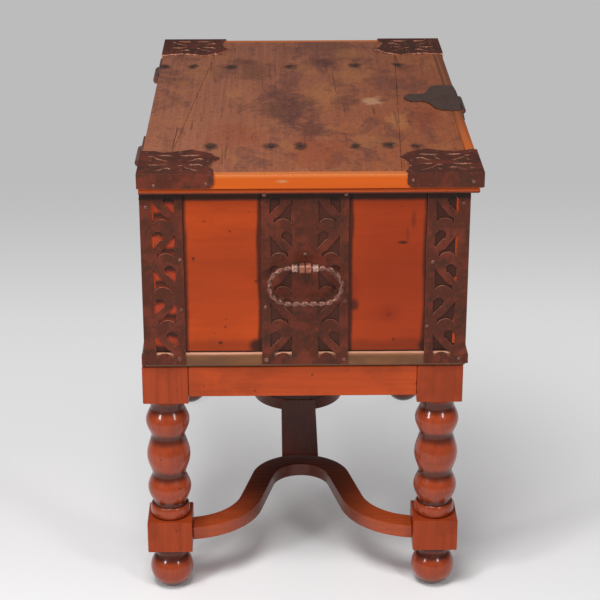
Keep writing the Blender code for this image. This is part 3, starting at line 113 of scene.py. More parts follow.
class ChestSizes(PropertyGroup):
    """Sizes of the forms that dress the chest."""

    iron_sheet: length("Iron sheet", "Thickness of the pierced irons", 0.002)
    iron_edge: length("Iron edge", "Rounding along the cut edges of the irons", 0.0006)
    nail_head: length("Nail head", "Radius of a nail's head", 0.0034)
    nail_dome: length("Nail dome", "How far a nail's head stands up", 0.0015)
    block_edge: length("Block edge", "Worn rounding of the stand's square blocks", 0.0016)
    bobbin: length("Bobbin radius", "Radius of a leg's bobbins at their widest", 0.0340)
    waist: length("Waist radius", "Radius of a leg between its bobbins", 0.0262)
    stretcher_chamfer: length("Stretcher chamfer", "Chamfer along the stretchers' edges", 0.0025)
    board_edge: length("Board edge", "Worn rounding of the lid boards' edges", 0.0008)
    crack: length("Crack width", "Widest opening of a crack in the lid", 0.0013)
    ring_rod: length("Ring rod", "Half the thickness of the handles' twisted rod", 0.00425)
    lathe_sides: IntProperty(name="Lathe sides", description="Sides of a turned form", default=48, min=12)
    ring_turns: IntProperty(
        name="Ring turns", description="Quarter turns of twist round a handle", default=44, min=4
    )


class ChestColours(PropertyGroup):
    """Main colours of the chest's finishes."""

    panel: colour("Panel", "Waxed softwood of the chest's sides", tone(174, 63, 13))
    lid: colour("Lid", "Weathered softwood of the lid", tone(163, 99, 73))
    moulding: colour("Moulding", "Bright waxed edge of the lid", tone(198, 86, 8))
    bottom: colour("Bottom", "Golden worn edge of the bottom board", tone(119, 74, 40))
    stand: colour("Stand", "Polished red-brown wood of the stand", tone(152, 60, 28))
    iron: colour("Sheet iron", "Rusted and waxed sheet iron", tone(92, 43, 28))
    forged: colour("Forged iron", "Rubbed forged iron of the handles", tone(136, 88, 74))
    floor: colour("Floor", "Pale floor", tone(252, 252, 253))


# Modelling by hand


def sizes():
    return bpy.context.scene.chest_sizes


def colours():
    return bpy.context.scene.chest_colours


def make_active(piece):
    bpy.ops.object.select_all(action="DESELECT")
    piece.select_set(True)
    bpy.context.view_layer.objects.active = piece


@contextmanager
def editing(piece, kind="FACE"):
    """Edit mode on one piece, with all of it selected."""
    make_active(piece)
    bpy.ops.object.mode_set(mode="EDIT")
    bpy.ops.mesh.select_mode(type=kind)
    bpy.ops.mesh.select_all(action="SELECT")
    yield
    bpy.ops.object.mode_set(mode="OBJECT")


def choose(piece, kind, test):
    """In edit mode, selects only the points, edges or faces whose middle passes the test."""
    bpy.ops.mesh.select_mode(type=kind)
    bpy.ops.mesh.select_all(action="DESELECT")
    shape = bmesh.from_edit_mesh(piece.data)
    items = {"VERT": shape.verts, "EDGE": shape.edges, "FACE": shape.faces}[kind]
    for item in items:
        corners = [item.co] if kind == "VERT" else [vertex.co for vertex in item.verts]
        if test(sum(corners, Vector()) / len(corners)):
            item.select_set(True)
    shape.select_flush_mode()
    bmesh.update_edit_mesh(piece.data)


def turn_chosen(angle, axis, centre):
    """Turns what is selected by the right-hand rule. Without a window the operator turns the other way."""
    bpy.ops.transform.rotate(value=-angle, orient_axis=axis, orient_type="GLOBAL", center_override=centre)


def new_piece(add, **settings):
    """A primitive on its own, with nothing else selected."""
    bpy.ops.object.select_all(action="DESELECT")
    add(**settings)
    return bpy.context.view_layer.objects.active


def set_down(piece, turn=(0.0, 0.0, 0.0), place=(0.0, 0.0, 0.0)):
    """Turns and moves a piece that was made about the origin, and leaves its object at the origin."""
    piece.rotation_euler = turn
    piece.location = place
    make_active(piece)
    bpy.ops.object.transform_apply(location=True, rotation=True, scale=True)
    return piece


def carry_out(piece, kind, **settings):
    """Adds a modifier with these settings and applies it."""
    make_active(piece)
    modifier = piece.modifiers.new(kind.lower(), kind)
    for key, value in settings.items():
        setattr(modifier, key, value)
    bpy.ops.object.modifier_apply(modifier=modifier.name)
    return piece


def combined(piece, tools, operation):
    for tool in tools:
        carry_out(piece, "BOOLEAN", operation=operation, solver="EXACT", object=tool)
        bpy.data.objects.remove(tool, do_unlink=True)
    return piece


def gathered(name, pieces):
    """Several loose forms as one object."""
    bpy.ops.object.select_all(action="DESELECT")
    for piece in pieces:
        piece.select_set(True)
    bpy.context.view_layer.objects.active = pieces[0]
    if len(pieces) > 1:
        bpy.ops.object.join()
    pieces[0].name = name
    return pieces[0]


def copy_of(piece, change):
    """Another piece with its own mesh, turned, mirrored or moved by a matrix."""
    made = piece.copy()
    made.data = piece.data.copy()
    bpy.context.collection.objects.link(made)
    made.data.transform(change)
    if change.determinant() < 0:
        made.data.flip_normals()
    return made


def drawn(name, outlines, cyclic=True, flat=True):
    """Lines drawn through points, turned to a mesh: a filled sheet in the XY plane, or open lines."""
    drawing = bpy.data.curves.new(name, "CURVE")
    drawing.dimensions = "2D" if flat else "3D"
    if flat:
        drawing.fill_mode = "BOTH"
    for outline in outlines:
        line = drawing.splines.new("POLY")
        line.points.add(len(outline) - 1)
        for point, place in zip(line.points, outline):
            point.co = (*place, 0.0, 1.0) if len(place) == 2 else (*place, 1.0)
        line.use_cyclic_u = cyclic
    piece = bpy.data.objects.new(name, drawing)
    bpy.context.collection.objects.link(piece)
    make_active(piece)
    bpy.ops.object.convert(target="MESH")
    return bpy.context.view_layer.objects.active


def sheet(name, outlines, finishes, bisects=()):
    """A flat sheet with openings, facing up, and creased where it will be folded."""
    piece = drawn(name, outlines)
    for finish in finishes:
        piece.data.materials.append(finish)
    with editing(piece):
        bpy.ops.mesh.remove_doubles(threshold=WELD)
        for point, across in bisects:
            bpy.ops.mesh.select_all(action="SELECT")
            bpy.ops.mesh.bisect(plane_co=(*point, 0.0), plane_no=(*across, 0.0), threshold=WELD)
    if sum(face.normal.z * face.area for face in piece.data.polygons) < 0:
        piece.data.flip_normals()
    return piece


def thickened(piece, thickness, rim=0):
    """Gives a sheet thickness on the side that it faces, and its cut edges the finish of this number."""
    with editing(piece):
        bpy.ops.mesh.dissolve_degenerate(threshold=WELD)
    carry_out(
        piece, "SOLIDIFY", thickness=thickness, offset=1.0, use_even_offset=True, material_offset_rim=rim
    )
    with editing(piece):
        bpy.ops.mesh.dissolve_limited(angle_limit=FLAT_ANGLE)
    return piece


def edges_rounded(piece, width, segments=2, finish=0, angle=50.0):
    return carry_out(
        piece,
        "BEVEL",
        width=width,
        segments=segments,
        limit_method="ANGLE",
        angle_limit=math.radians(angle),
        material=finish,
        harden_normals=False,
    )


def block(name, low, high, edge, finish, segments=2):
    """A squared block between two corners, with its arrises rounded off."""
    low, high = Vector(low), Vector(high)
    middle = (low + high) / 2
    piece = new_piece(bpy.ops.mesh.primitive_cube_add, size=1.0, location=middle, scale=high - low)
    piece.name = name
    piece.data.materials.append(finish)
    set_down(piece, place=piece.location)
    if edge:
        with editing(piece, "EDGE"):
            bpy.ops.mesh.bevel(offset=edge, segments=segments, affect="EDGES")
    return piece


def turned(name, profile, sides, finish):
    """A turned form: its profile of (radius, height) spun about the upright axis."""
    piece = drawn(name, [[(radius, 0.0, height) for radius, height in profile]], cyclic=False, flat=False)
    piece.data.materials.append(finish)
    with editing(piece, "VERT"):
        bpy.ops.mesh.spin(steps=sides, angle=math.tau, center=(0.0, 0.0, 0.0), axis=(0.0, 0.0, 1.0))
        bpy.ops.mesh.select_all(action="SELECT")
        bpy.ops.mesh.remove_doubles(threshold=WELD)
        bpy.ops.mesh.normals_make_consistent(inside=False)
    return piece


def smoothed(piece, angle=SMOOTH_ANGLE):
    make_active(piece)
    bpy.ops.object.shade_smooth_by_angle(angle=angle)
    return piece


def fitted(piece, name, body, nodes=()):
    """Triangulates a finished piece's larger faces, weights its normals, names it, hangs it on its body and
    hides the chest's pieces that it stands for.
    """
    carry_out(piece, "TRIANGULATE", min_vertices=5, ngon_method="BEAUTY")
    carry_out(piece, "WEIGHTED_NORMAL", keep_sharp=True)
    piece.name = name
    piece.data.name = name
    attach(piece, body)
    if nodes:
        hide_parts(*nodes)
    return piece


def arc(centre, radii, turn, steps):
    """Points along an elliptical arc, its turn in degrees."""
    start, end = (math.radians(angle) for angle in turn)
    angles = [start + (end - start) * i / steps for i in range(steps + 1)]
    return [(centre[0] + radii[0] * math.cos(a), centre[1] + radii[1] * math.sin(a)) for a in angles]


def circle(centre, radius, steps):
    return arc(centre, (radius, radius), (0.0, 360.0), steps)[:-1]


def rectangle(low, high):
    return [low, (high[0], low[1]), high, (low[0], high[1])]


# Finishes


class Value:
    """A number or colour worked out in a finish. Arithmetic on it adds the Math nodes."""

    def __init__(self, recipe, socket):
        self.recipe = recipe
        self.socket = socket

    def math(self, operation, *numbers):
        return self.recipe.node("ShaderNodeMath", {"operation": operation}, dict(enumerate(numbers)))

    def __add__(self, other):
        return self.math("ADD", self, other)

    def __sub__(self, other):
        return self.math("SUBTRACT", self, other)

    def __rsub__(self, other):
        return self.math("SUBTRACT", other, self)

    def __mul__(self, other):
        return self.math("MULTIPLY", self, other)

    def __truediv__(self, other):
        return self.math("DIVIDE", self, other)

    def __pow__(self, other):
        return self.math("POWER", self, other)

    def __abs__(self):
        return self.math("ABSOLUTE", self)

    __radd__ = __add__
    __rmul__ = __mul__


class Recipe:
    """A finish being mixed: a material, its nodes and the shader that they end in."""

    def __init__(self, name, constants):
        self.material = bpy.data.materials.new(name)
        self.material.use_nodes = True
        self.tree = self.material.node_tree
        self.shader = self.tree.nodes["Principled BSDF"]
        self.colour = None
        for key, value in constants.items():
            self.shader.inputs[key].default_value = value

    def node(self, kind, settings=None, inputs=None, output=0):
        """One node: its settings, then the numbers, colours or links of its sockets."""
        made = self.tree.nodes.new(kind)
        for key, value in (settings or {}).items():
            setattr(made, key, value)
        for key, value in (inputs or {}).items():
            self.feed(made.inputs[key], value)
        return Value(self, made.outputs[output])

    def feed(self, socket, value):
        if isinstance(value, Value):
            self.tree.links.new(value.socket, socket)
        elif socket.type == "RGBA":
            socket.default_value = (*value, 1.0)
        else:
            socket.default_value = value

    def place(self, scale=(1.0, 1.0, 1.0), shift=(0.0, 0.0, 0.0), turn=(0.0, 0.0, 0.0)):
        """The place on the chest, stretched by a scale, turned and then shifted."""
        where = self.node("ShaderNodeTexCoord", output="Object")
        inputs = {"Vector": where, "Scale": scale, "Location": shift, "Rotation": turn}
        return self.node("ShaderNodeMapping", inputs=inputs)

    def part(self, axis):
        """One coordinate of the place on the chest."""
        where = self.node("ShaderNodeTexCoord", output="Object")
        return self.node("ShaderNodeSeparateXYZ", inputs={0: where}, output="XYZ".index(axis))

    def cloud(self, where, scale, detail=3.0, roughness=0.5, distortion=0.0):
        inputs = {"Vector": where, "Scale": scale, "Detail": detail}
        inputs |= {"Roughness": roughness, "Distortion": distortion}
        return self.node("ShaderNodeTexNoise", inputs=inputs)

    def fade(self, value, start, end):
        """0 before start and 1 after end, with a smooth rise between them."""
        if end < start:
            return 1.0 - self.fade(value, end, start)
        inputs = {0: value, 1: start, 2: end}
        return self.node("ShaderNodeMapRange", {"interpolation_type": "SMOOTHSTEP"}, inputs)

    def distance(self, point, stretch=(1.0, 1.0, 1.0)):
        """Distance from a point, stretched along the axes."""
        shift = tuple(-p * s for p, s in zip(point, stretch))
        return self.node(
            "ShaderNodeVectorMath", {"operation": "LENGTH"}, {0: self.place(stretch, shift)}, output="Value"
        )

    def near(self, point, radius, stretch=(1.0, 1.0, 1.0)):
        """1 at a point, and 0 from the radius on."""
        return self.fade(self.distance(point, stretch), radius, 0.0)

    def mix(self, share, first, second):
        return self.node("ShaderNodeMix", {"data_type": "RGBA"}, {0: share, 6: first, 7: second}, output=2)

    def lay(self, share, colour):
        """Lays a colour over what is there, thinly or fully by a share from 0 to 1."""
        self.colour = self.mix(share, self.colour, colour)

    def larger(self, first, second):
        return self.node("ShaderNodeMath", {"operation": "MAXIMUM"}, {0: first, 1: second})

    def relief(self, height, strength, depth):
        inputs = {"Height": height, "Strength": strength, "Distance": depth}
        self.feed(self.shader.inputs["Normal"], self.node("ShaderNodeBump", inputs=inputs))

    def done(self, roughness):
        self.feed(self.shader.inputs["Base Color"], self.colour)
        self.feed(self.shader.inputs["Roughness"], roughness)
        return self.material


def shade(base, factor):
    """A colour made darker or lighter by a factor."""
    return tuple(min(1.0, value * factor) for value in base)


def tinted(base, target, share):
    return tuple(b + (t - b) * share for b, t in zip(base, target))


def figure(recipe, grain, pith, ring, wander, seed=0.0):
    """Year rings about a line along the grain, and the fine fibres: both from 0 to 1."""
    along = "XYZ".index(grain)
    squeeze = [1.0, 1.0, 1.0]
    squeeze[along] = 0.14
    drift = recipe.cloud(recipe.place(squeeze, (seed, seed, seed)), 7.0, 3.0, 0.45)
    section = [1.0, 1.0, 1.0]
    section[along] = 0.0
    reach = recipe.distance(pith, section)
    phase = (reach + drift * wander) * (math.tau / ring)
    rings = (phase.math("SINE", phase) * 0.5 + 0.5) ** 2.0
    streak = [210.0, 210.0, 210.0]
    streak[along] = 5.0
    fibres = recipe.cloud(recipe.place(streak, (seed, seed, seed)), 1.0, 4.0, 0.62)
    return rings, fibres


def shared(name, build):
    """A finish that more than one piece uses, mixed once."""
    return bpy.data.materials.get(name) or build(name)


# how far in from a board's outer face its marks and painted shade start, and where they are full
SKIN_START, SKIN_FULL = 0.006, 0.003


def panel_wood(name, grain, pith, seed):
    """Waxed orange softwood, softly streaked, with grime and painted shade about the irons and under the lid,
    and small dark specks.
    """
    base = tuple(colours().panel)
    recipe = Recipe(name, {"Specular IOR Level": 0.22})
    rings, fibres = figure(recipe, grain, pith, 0.019, 0.11, seed)
    streaks = recipe.fade(fibres, 0.46, 0.72)
    warm = recipe.cloud(recipe.place((3.0, 3.0, 5.0), (seed, 0.0, 0.0)), 1.6, 3.0)
    squeeze = [46.0, 46.0, 46.0]
    squeeze["XYZ".index(grain)] = 9.0
    mottle = recipe.cloud(recipe.place(tuple(squeeze), (seed, 2.0, 0.0)), 1.0, 4.0, 0.6)
    recipe.colour = recipe.mix(rings * 0.20, shade(base, 1.08), shade(base, 0.78))
    recipe.lay(streaks * 0.22, shade(base, 0.62))
    recipe.lay(recipe.fade(mottle, 0.50, 0.66) * 0.38, shade(base, 0.66))
    recipe.lay(recipe.fade(mottle, 0.46, 0.32) * 0.30, shade(base, 1.3))
    recipe.lay(recipe.fade(warm, 0.42, 0.66) * 0.35, shade(base, 1.22))
    recipe.lay(recipe.fade(warm, 0.5, 0.3) * 0.35, shade(base, 0.74))
    specks = recipe.fade(recipe.cloud(recipe.place(shift=(seed, 3.0, 1.0)), 130.0, 1.0), 0.745, 0.80)
    recipe.lay(specks * 0.75, tone(80, 24, 8))
    off_middle = recipe.part("X")
    off_middle = abs(off_middle)
    if grain == "Y":
        outer = recipe.fade(off_middle, CHEST_END - SKIN_START, CHEST_END - SKIN_FULL)
        plain = recipe.colour
        end_marks(recipe)
        recipe.colour = recipe.mix(outer, plain, recipe.colour)
    else:
        across = recipe.part("Y") - MIDDLE_Y
        half_depth = BACK_Y - MIDDLE_Y
        outer = recipe.fade(abs(across), half_depth - SKIN_START, half_depth - SKIN_FULL)
        behind = recipe.fade(off_middle, CHEST_END - 0.0645, CHEST_END - 0.0600)
        recipe.lay(behind * outer * 0.9, tone(70, 34, 22))
    recipe.relief(fibres * 0.6 + rings * 0.2 + mottle * 0.4, 0.22, 0.0006)
    return recipe.done(0.40 + fibres * 0.18)


def end_marks(recipe):
    """Marks of an end board: darker toward its right side, partly its own tone and partly painted shade; a
    darker band across its middle; grime and painted shadow beside its irons; darker wood behind them, with
    painted shade at the top of each opening; painted shadow under the lid; a dark joint line over the bottom
    board; a knot, a scratch and smudges.
    """
    grime_and_shade = tone(40, 18, 9)
    side = recipe.part("Y") - MIDDLE_Y
    off_middle = abs(side)
    height = recipe.part("Z")
    smear = recipe.cloud(recipe.place((30.0, 30.0, 14.0)), 1.0, 3.0)
    # darker toward the right side: partly the wood's own tone, partly painted shade
    recipe.lay(recipe.fade(side, 0.02, -0.12) * 0.6, tone(128, 38, 8))
    middle = recipe.near((0.0, 0.0, 0.552), 0.105, (0.0, 0.0, 1.0))
    recipe.lay(middle * 0.34, tone(112, 32, 8))
    plate_edge = 0.0655
    iron_edge = BACK_Y - MIDDLE_Y - 0.0610
    reach = smear * 0.009
    # painted shadow and grime in thin dark bands beside the plate and the corner irons
    beside_plate = recipe.fade(off_middle - reach, plate_edge + 0.0035, plate_edge - 0.0015)
    beside_iron = recipe.fade(off_middle + reach, iron_edge - 0.0025, iron_edge + 0.0035)
    recipe.lay(recipe.larger(beside_plate, beside_iron) * 0.85, grime_and_shade)
    behind_plate = recipe.fade(off_middle, plate_edge - 0.001, plate_edge - 0.004)
    recipe.lay(behind_plate, tone(70, 34, 22))
    # Behind the corner irons: painted shade at the top of each opening, red-orange wood below it on the left
    # side, and dark wood on the right side.
    behind_iron = recipe.fade(off_middle, iron_edge + 0.002, iron_edge + 0.006)
    redder = recipe.fade(side, -0.05, 0.05)
    row = (height + (smear - 0.5) * 0.012 - SCROLL_LOW) / SCROLL_PITCH
    row = row.math("FRACT", row)
    upper = recipe.fade(row, 0.80, 0.62) * recipe.fade(row, 0.36, 0.50)
    lit_share = recipe.larger(upper, recipe.fade(row, 0.34, 0.22) * 0.35)
    recipe.lay(behind_iron, recipe.mix(redder * lit_share, tone(60, 26, 17), tone(160, 56, 28)))
    # painted shadow of the lid's overhang, and a dark joint line just above the bottom board
    under_lid = recipe.fade(height + reach * 0.4, LID_LOW.z - 0.0255, LID_LOW.z - 0.0185)
    over_bottom = recipe.fade(height, BOTTOM_HIGH.z + 0.0032, BOTTOM_HIGH.z + 0.0016)
    recipe.lay(recipe.larger(under_lid * 0.94, over_bottom * 0.94), tone(16, 8, 5))
    grubby = recipe.fade(height - smear * 0.02, BOTTOM_HIGH.z + 0.016, BOTTOM_HIGH.z + 0.002)
    recipe.lay(grubby * 0.35, grime_and_shade)
    knot = recipe.near((-CHEST_END, -0.1185, 0.4823), 0.022, (0.0, 0.8, 1.0))
    eye = recipe.near((-CHEST_END, -0.1185, 0.4785), 0.006, (0.0, 1.0, 1.0))
    recipe.lay(knot * 0.4 + eye * 0.4, tone(110, 26, 8))
    marks = (
        ((-CHEST_END, -0.1372, 0.5941), 0.0055, (0.0, 0.5, 1.4), 0.85),
        ((-CHEST_END, -0.1526, 0.6300), 0.020, (0.0, 4.0, 1.0), 0.35),
        ((-CHEST_END, -0.1440, 0.6065), 0.016, (0.0, 4.0, 1.0), 0.25),
        ((-CHEST_END, 0.0790, 0.4295), 0.018, (0.0, 1.0, 1.1), 0.9),
        ((-CHEST_END, -0.0660, 0.4950), 0.011, (0.0, 1.0, 0.8), 0.75),
        ((-CHEST_END, -0.1700, 0.4285), 0.012, (0.0, 1.0, 1.0), 0.75),
        ((-CHEST_END, 0.1730, 0.5705), 0.0035, (0.0, 1.0, 1.0), 0.8),
        ((-CHEST_END, 0.1350, 0.4345), 0.0038, (0.0, 0.8, 1.0), 0.8),
        ((-CHEST_END, 0.1270, 0.4600), 0.0030, (0.0, 1.0, 1.0), 0.6),
        ((-CHEST_END, 0.0790, 0.5340), 0.0040, (0.0, 0.6, 1.0), 0.5),
        ((-CHEST_END, 0.1560, 0.6290), 0.0028, (0.0, 0.6, 1.0), 0.5),
        ((-CHEST_END, -0.1260, 0.4385), 0.0030, (0.0, 1.0, 1.0), 0.7),
    )
    for point, radius, stretch, strength in marks:
        ragged = recipe.distance(point, stretch) + smear * radius * 0.8 - radius * 0.4
        recipe.lay(recipe.fade(ragged, radius, radius * 0.3) * strength, grime_and_shade)


def lid_wood(name):
    """Weathered purple-brown softwood, redder toward its near front corner, with worn patches and stains."""
    base = tuple(colours().lid)
    recipe = Recipe(name, {"Specular IOR Level": 0.3})
    rings, fibres = figure(recipe, "X", (0.0, 0.02, 0.56), 0.011, 0.05)
    streaks = recipe.fade(fibres, 0.40, 0.66)
    across = recipe.part("Y")
    along = recipe.part("X")
    warmer = recipe.fade(along * 0.35 + across, 0.20, -0.32)
    recipe.colour = recipe.mix(warmer, base, tone(154, 82, 46))
    recipe.lay(rings * 0.25, shade(base, 0.74))
    recipe.lay(streaks * 0.35, shade(base, 0.52))
    ragged = recipe.cloud(recipe.place(), 30.0, 6.0, 0.7, 0.4) - 0.5
    rough = recipe.cloud(recipe.place((1.0, 1.4, 1.0), (1.0, 2.0, 0.0)), 95.0, 5.0, 0.7)
    broad = recipe.cloud(recipe.place((1.0, 2.0, 1.0), (0.4, 0.0, 0.0)), 7.5, 6.0, 0.66, 0.6)
    recipe.lay(recipe.fade(broad, 0.50, 0.60) * 0.50, tone(90, 54, 50))
    worn = recipe.cloud(recipe.place((1.0, 1.5, 1.0), (2.0, 1.0, 0.0)), 11.0, 6.0, 0.68, 0.5)
    recipe.lay(recipe.fade(worn, 0.52, 0.63) * 0.40, tone(170, 106, 62))
    for x, y, radius, stretch, strength, tint in LID_PATCHES:
        reach = recipe.distance((x, y, LID_HIGH.z), (stretch, 1.0, 0.0)) + ragged * radius * 2.4
        recipe.lay(recipe.fade(reach, radius, radius * 0.3) * strength, PATCH_TONES[tint])
    for x, y in LID_NAILS:
        reach = recipe.distance((x, y, LID_HIGH.z), (0.6, 1.0, 0.0)) + ragged * 0.034
        recipe.lay(recipe.fade(reach, 0.014, 0.004) * 0.8, tone(42, 26, 22))
    recipe.lay(recipe.fade(rough, 0.54, 0.66) * 0.42, tone(74, 42, 32))
    recipe.lay(recipe.fade(rough, 0.44, 0.34) * 0.30, tone(176, 112, 76))
    turned_across = recipe.place((6.0, 150.0, 1.0), (0.0, 4.0, 0.0), (0.0, 0.0, 1.45))
    crossing = recipe.cloud(turned_across, 1.0, 3.0, 0.55)
    recipe.lay(recipe.fade(crossing, 0.63, 0.70) * 0.40, tone(60, 34, 28))
    in_x = recipe.fade(abs(along), LID_HIGH.x - 0.108, LID_HIGH.x - 0.102)
    in_y = recipe.fade(abs(across), LID_HIGH.y - 0.108, LID_HIGH.y - 0.102)
    recipe.lay(in_x * in_y * 0.88, tone(58, 35, 28))
    recipe.relief(fibres * 0.6 + rings * 0.2 + ragged * 0.6 + rough * 0.5, 0.55, 0.0009)
    return recipe.done(0.46 + fibres * 0.2)


PATCH_TONES = {
    "yellow": tone(176, 112, 66),
    "pale": tone(206, 160, 122),
    "purple": tone(82, 46, 42),
    "red": tone(146, 66, 36),
}

# x, y, radius, stretch along the lid, strength and tint of the lid's patches
LID_PATCHES = (
    (0.035, -0.028, 0.044, 0.50, 0.60, "yellow"),
    (0.160, -0.082, 0.044, 0.50, 0.50, "yellow"),
    (-0.012, -0.108, 0.022, 0.70, 0.60, "pale"),
    (0.300, -0.083, 0.034, 0.60, 0.50, "yellow"),
    (-0.120, -0.143, 0.022, 0.32, 0.70, "yellow"),
    (0.035, 0.117, 0.024, 0.70, 0.55, "yellow"),
    (0.175, 0.178, 0.044, 0.70, 0.35, "yellow"),
    (0.190, -0.006, 0.028, 0.50, 0.40, "yellow"),
    (-0.235, -0.090, 0.034, 0.70, 0.40, "yellow"),
    (-0.050, 0.030, 0.066, 0.50, 0.60, "purple"),
    (0.232, -0.037, 0.034, 0.70, 0.60, "purple"),
    (-0.175, -0.008, 0.038, 0.60, 0.60, "purple"),
    (0.172, 0.088, 0.042, 0.50, 0.50, "purple"),
    (-0.022, -0.066, 0.030, 0.50, 0.50, "purple"),
    (0.236, 0.108, 0.030, 0.70, 0.50, "purple"),
    (0.200, -0.178, 0.028, 0.70, 0.50, "purple"),
    (-0.200, 0.110, 0.050, 0.50, 0.40, "red"),
    (-0.290, -0.020, 0.060, 0.50, 0.45, "red"),
    (-0.110, -0.190, 0.036, 0.40, 0.45, "red"),
)

# x and y of the nails that hold the battens
LID_NAILS = (
    (-0.262, 0.149),
    (-0.262, 0.057),
    (-0.259, 0.013),
    (-0.262, -0.070),
    (-0.255, -0.123),
    (-0.262, -0.162),
    (0.212, 0.242),
    (0.212, 0.195),
    (0.206, 0.125),
    (0.212, 0.023),
    (0.212, -0.091),
    (0.216, -0.165),
)


def moulding_wood(name):
    """Bright waxed edge strip, lighter on its top, partly worn and partly painted light; its bead red-brown,
    with painted shade in the groove above the bead and painted shadow on its lower part.
    """
    base = tuple(colours().moulding)
    recipe = Recipe(name, {"Specular IOR Level": 0.3})
    rings, fibres = figure(recipe, "Y", (-0.52, 0.0, 0.74), 0.0065, 0.03)
    height = recipe.part("Z")
    recipe.colour = recipe.mix(rings * 0.3, base, shade(tinted(base, tone(190, 76, 8), 0.6), 0.9))
    recipe.lay(recipe.fade(fibres, 0.46, 0.7) * 0.3, tone(176, 66, 12))
    # the top of the strip lighter: partly worn, partly painted light on the top face
    worn_and_lit_top = recipe.fade(height + (fibres - 0.5) * 0.004, LID_HIGH.z - 0.0062, LID_HIGH.z - 0.0010)
    recipe.lay(worn_and_lit_top * 0.5, tone(216, 132, 72))
    low = recipe.fade(height, LID_LOW.z + 0.0008, LID_LOW.z - 0.0004)
    recipe.lay(low * 0.95, tone(182, 74, 24))
    # painted shade in the groove between the fascia and the bead
    quirk = recipe.fade(height, LID_LOW.z + 0.0014, LID_LOW.z + 0.0002)
    quirk = quirk * recipe.fade(height, LID_LOW.z - 0.0020, LID_LOW.z - 0.0010)
    recipe.lay(quirk * 0.8, tone(56, 20, 8))
    # painted shadow on the lower part of the bead
    lower = recipe.fade(height, LID_LOW.z - 0.0050, LID_LOW.z - 0.0072)
    recipe.lay(lower * 0.8, tone(34, 14, 8))
    worn = recipe.near((-0.397, 0.0412, 0.6962), 0.013, (0.0, 1.0, 3.6))
    recipe.lay(worn * 0.75, tone(178, 140, 96))
    recipe.relief(fibres, 0.2, 0.0005)
    return recipe.done(0.36 + fibres * 0.14)


def front_strip_wood(name):
    """The front edge strip, browner than the ends' and orange only near its near corner."""
    base = tone(128, 72, 44)
    recipe = Recipe(name, {"Specular IOR Level": 0.3})
    rings, fibres = figure(recipe, "X", (0.0, -0.40, 0.66), 0.006, 0.03)
    along = recipe.part("X")
    recipe.colour = recipe.mix(recipe.fade(along, -0.02, -0.26), base, tone(206, 98, 24))
    recipe.lay(rings * 0.35, shade(base, 0.62))
    recipe.lay(recipe.fade(fibres, 0.44, 0.68) * 0.35, tone(90, 44, 24))
    line = recipe.near((0.0, LID_LOW.y + 0.0095, LID_HIGH.z), 0.0022, (0.0, 1.0, 0.0))
    recipe.lay(line * 0.5, tone(176, 112, 74))
    low = recipe.fade(recipe.part("Z"), LID_LOW.z + 0.0012, LID_LOW.z - 0.0004)
    recipe.lay(low * 0.8, tone(140, 62, 30))
    recipe.relief(fibres, 0.25, 0.0006)
    return recipe.done(0.42 + fibres * 0.15)


def bottom_wood(name):
    """Worn board edge, olive-brown, lighter toward its upper arris, partly worn and partly a painted highlight,
    with painted shade along its foot against the stand.
    """
    base = tuple(colours().bottom)
    recipe = Recipe(name, {"Specular IOR Level": 0.35})
    rings, fibres = figure(recipe, "Y", (-0.30, 0.0, 0.44), 0.006, 0.05)
    recipe.colour = recipe.mix(rings * 0.35, base, shade(base, 0.6))
    patches = recipe.cloud(recipe.place((8.0, 8.0, 20.0)), 2.2, 4.0, 0.6)
    height = recipe.part("Z") + (patches - 0.5) * 0.003
    recipe.lay(recipe.fade(patches, 0.42, 0.60) * 0.6, tone(92, 58, 38))
    # lighter toward the upper arris: partly wear, partly a painted highlight where the rounded edge catches the
    # light
    middle = recipe.fade(height, BOTTOM_HIGH.z - 0.0060, BOTTOM_HIGH.z - 0.0028)
    recipe.lay(middle * 0.6, tone(150, 96, 70))
    arris = recipe.fade(height, BOTTOM_HIGH.z - 0.0030, BOTTOM_HIGH.z - 0.0008)
    recipe.lay(arris * 0.8, tone(206, 150, 120))
    # painted shade along the foot of the board, against the stand
    foot = recipe.fade(recipe.part("Z"), BOTTOM_LOW.z + 0.0042, BOTTOM_LOW.z + 0.0016)
    recipe.lay(foot * 0.9, tone(30, 16, 10))
    recipe.relief(fibres + patches * 0.3, 0.3, 0.0007)
    return recipe.done(0.42 + fibres * 0.16)


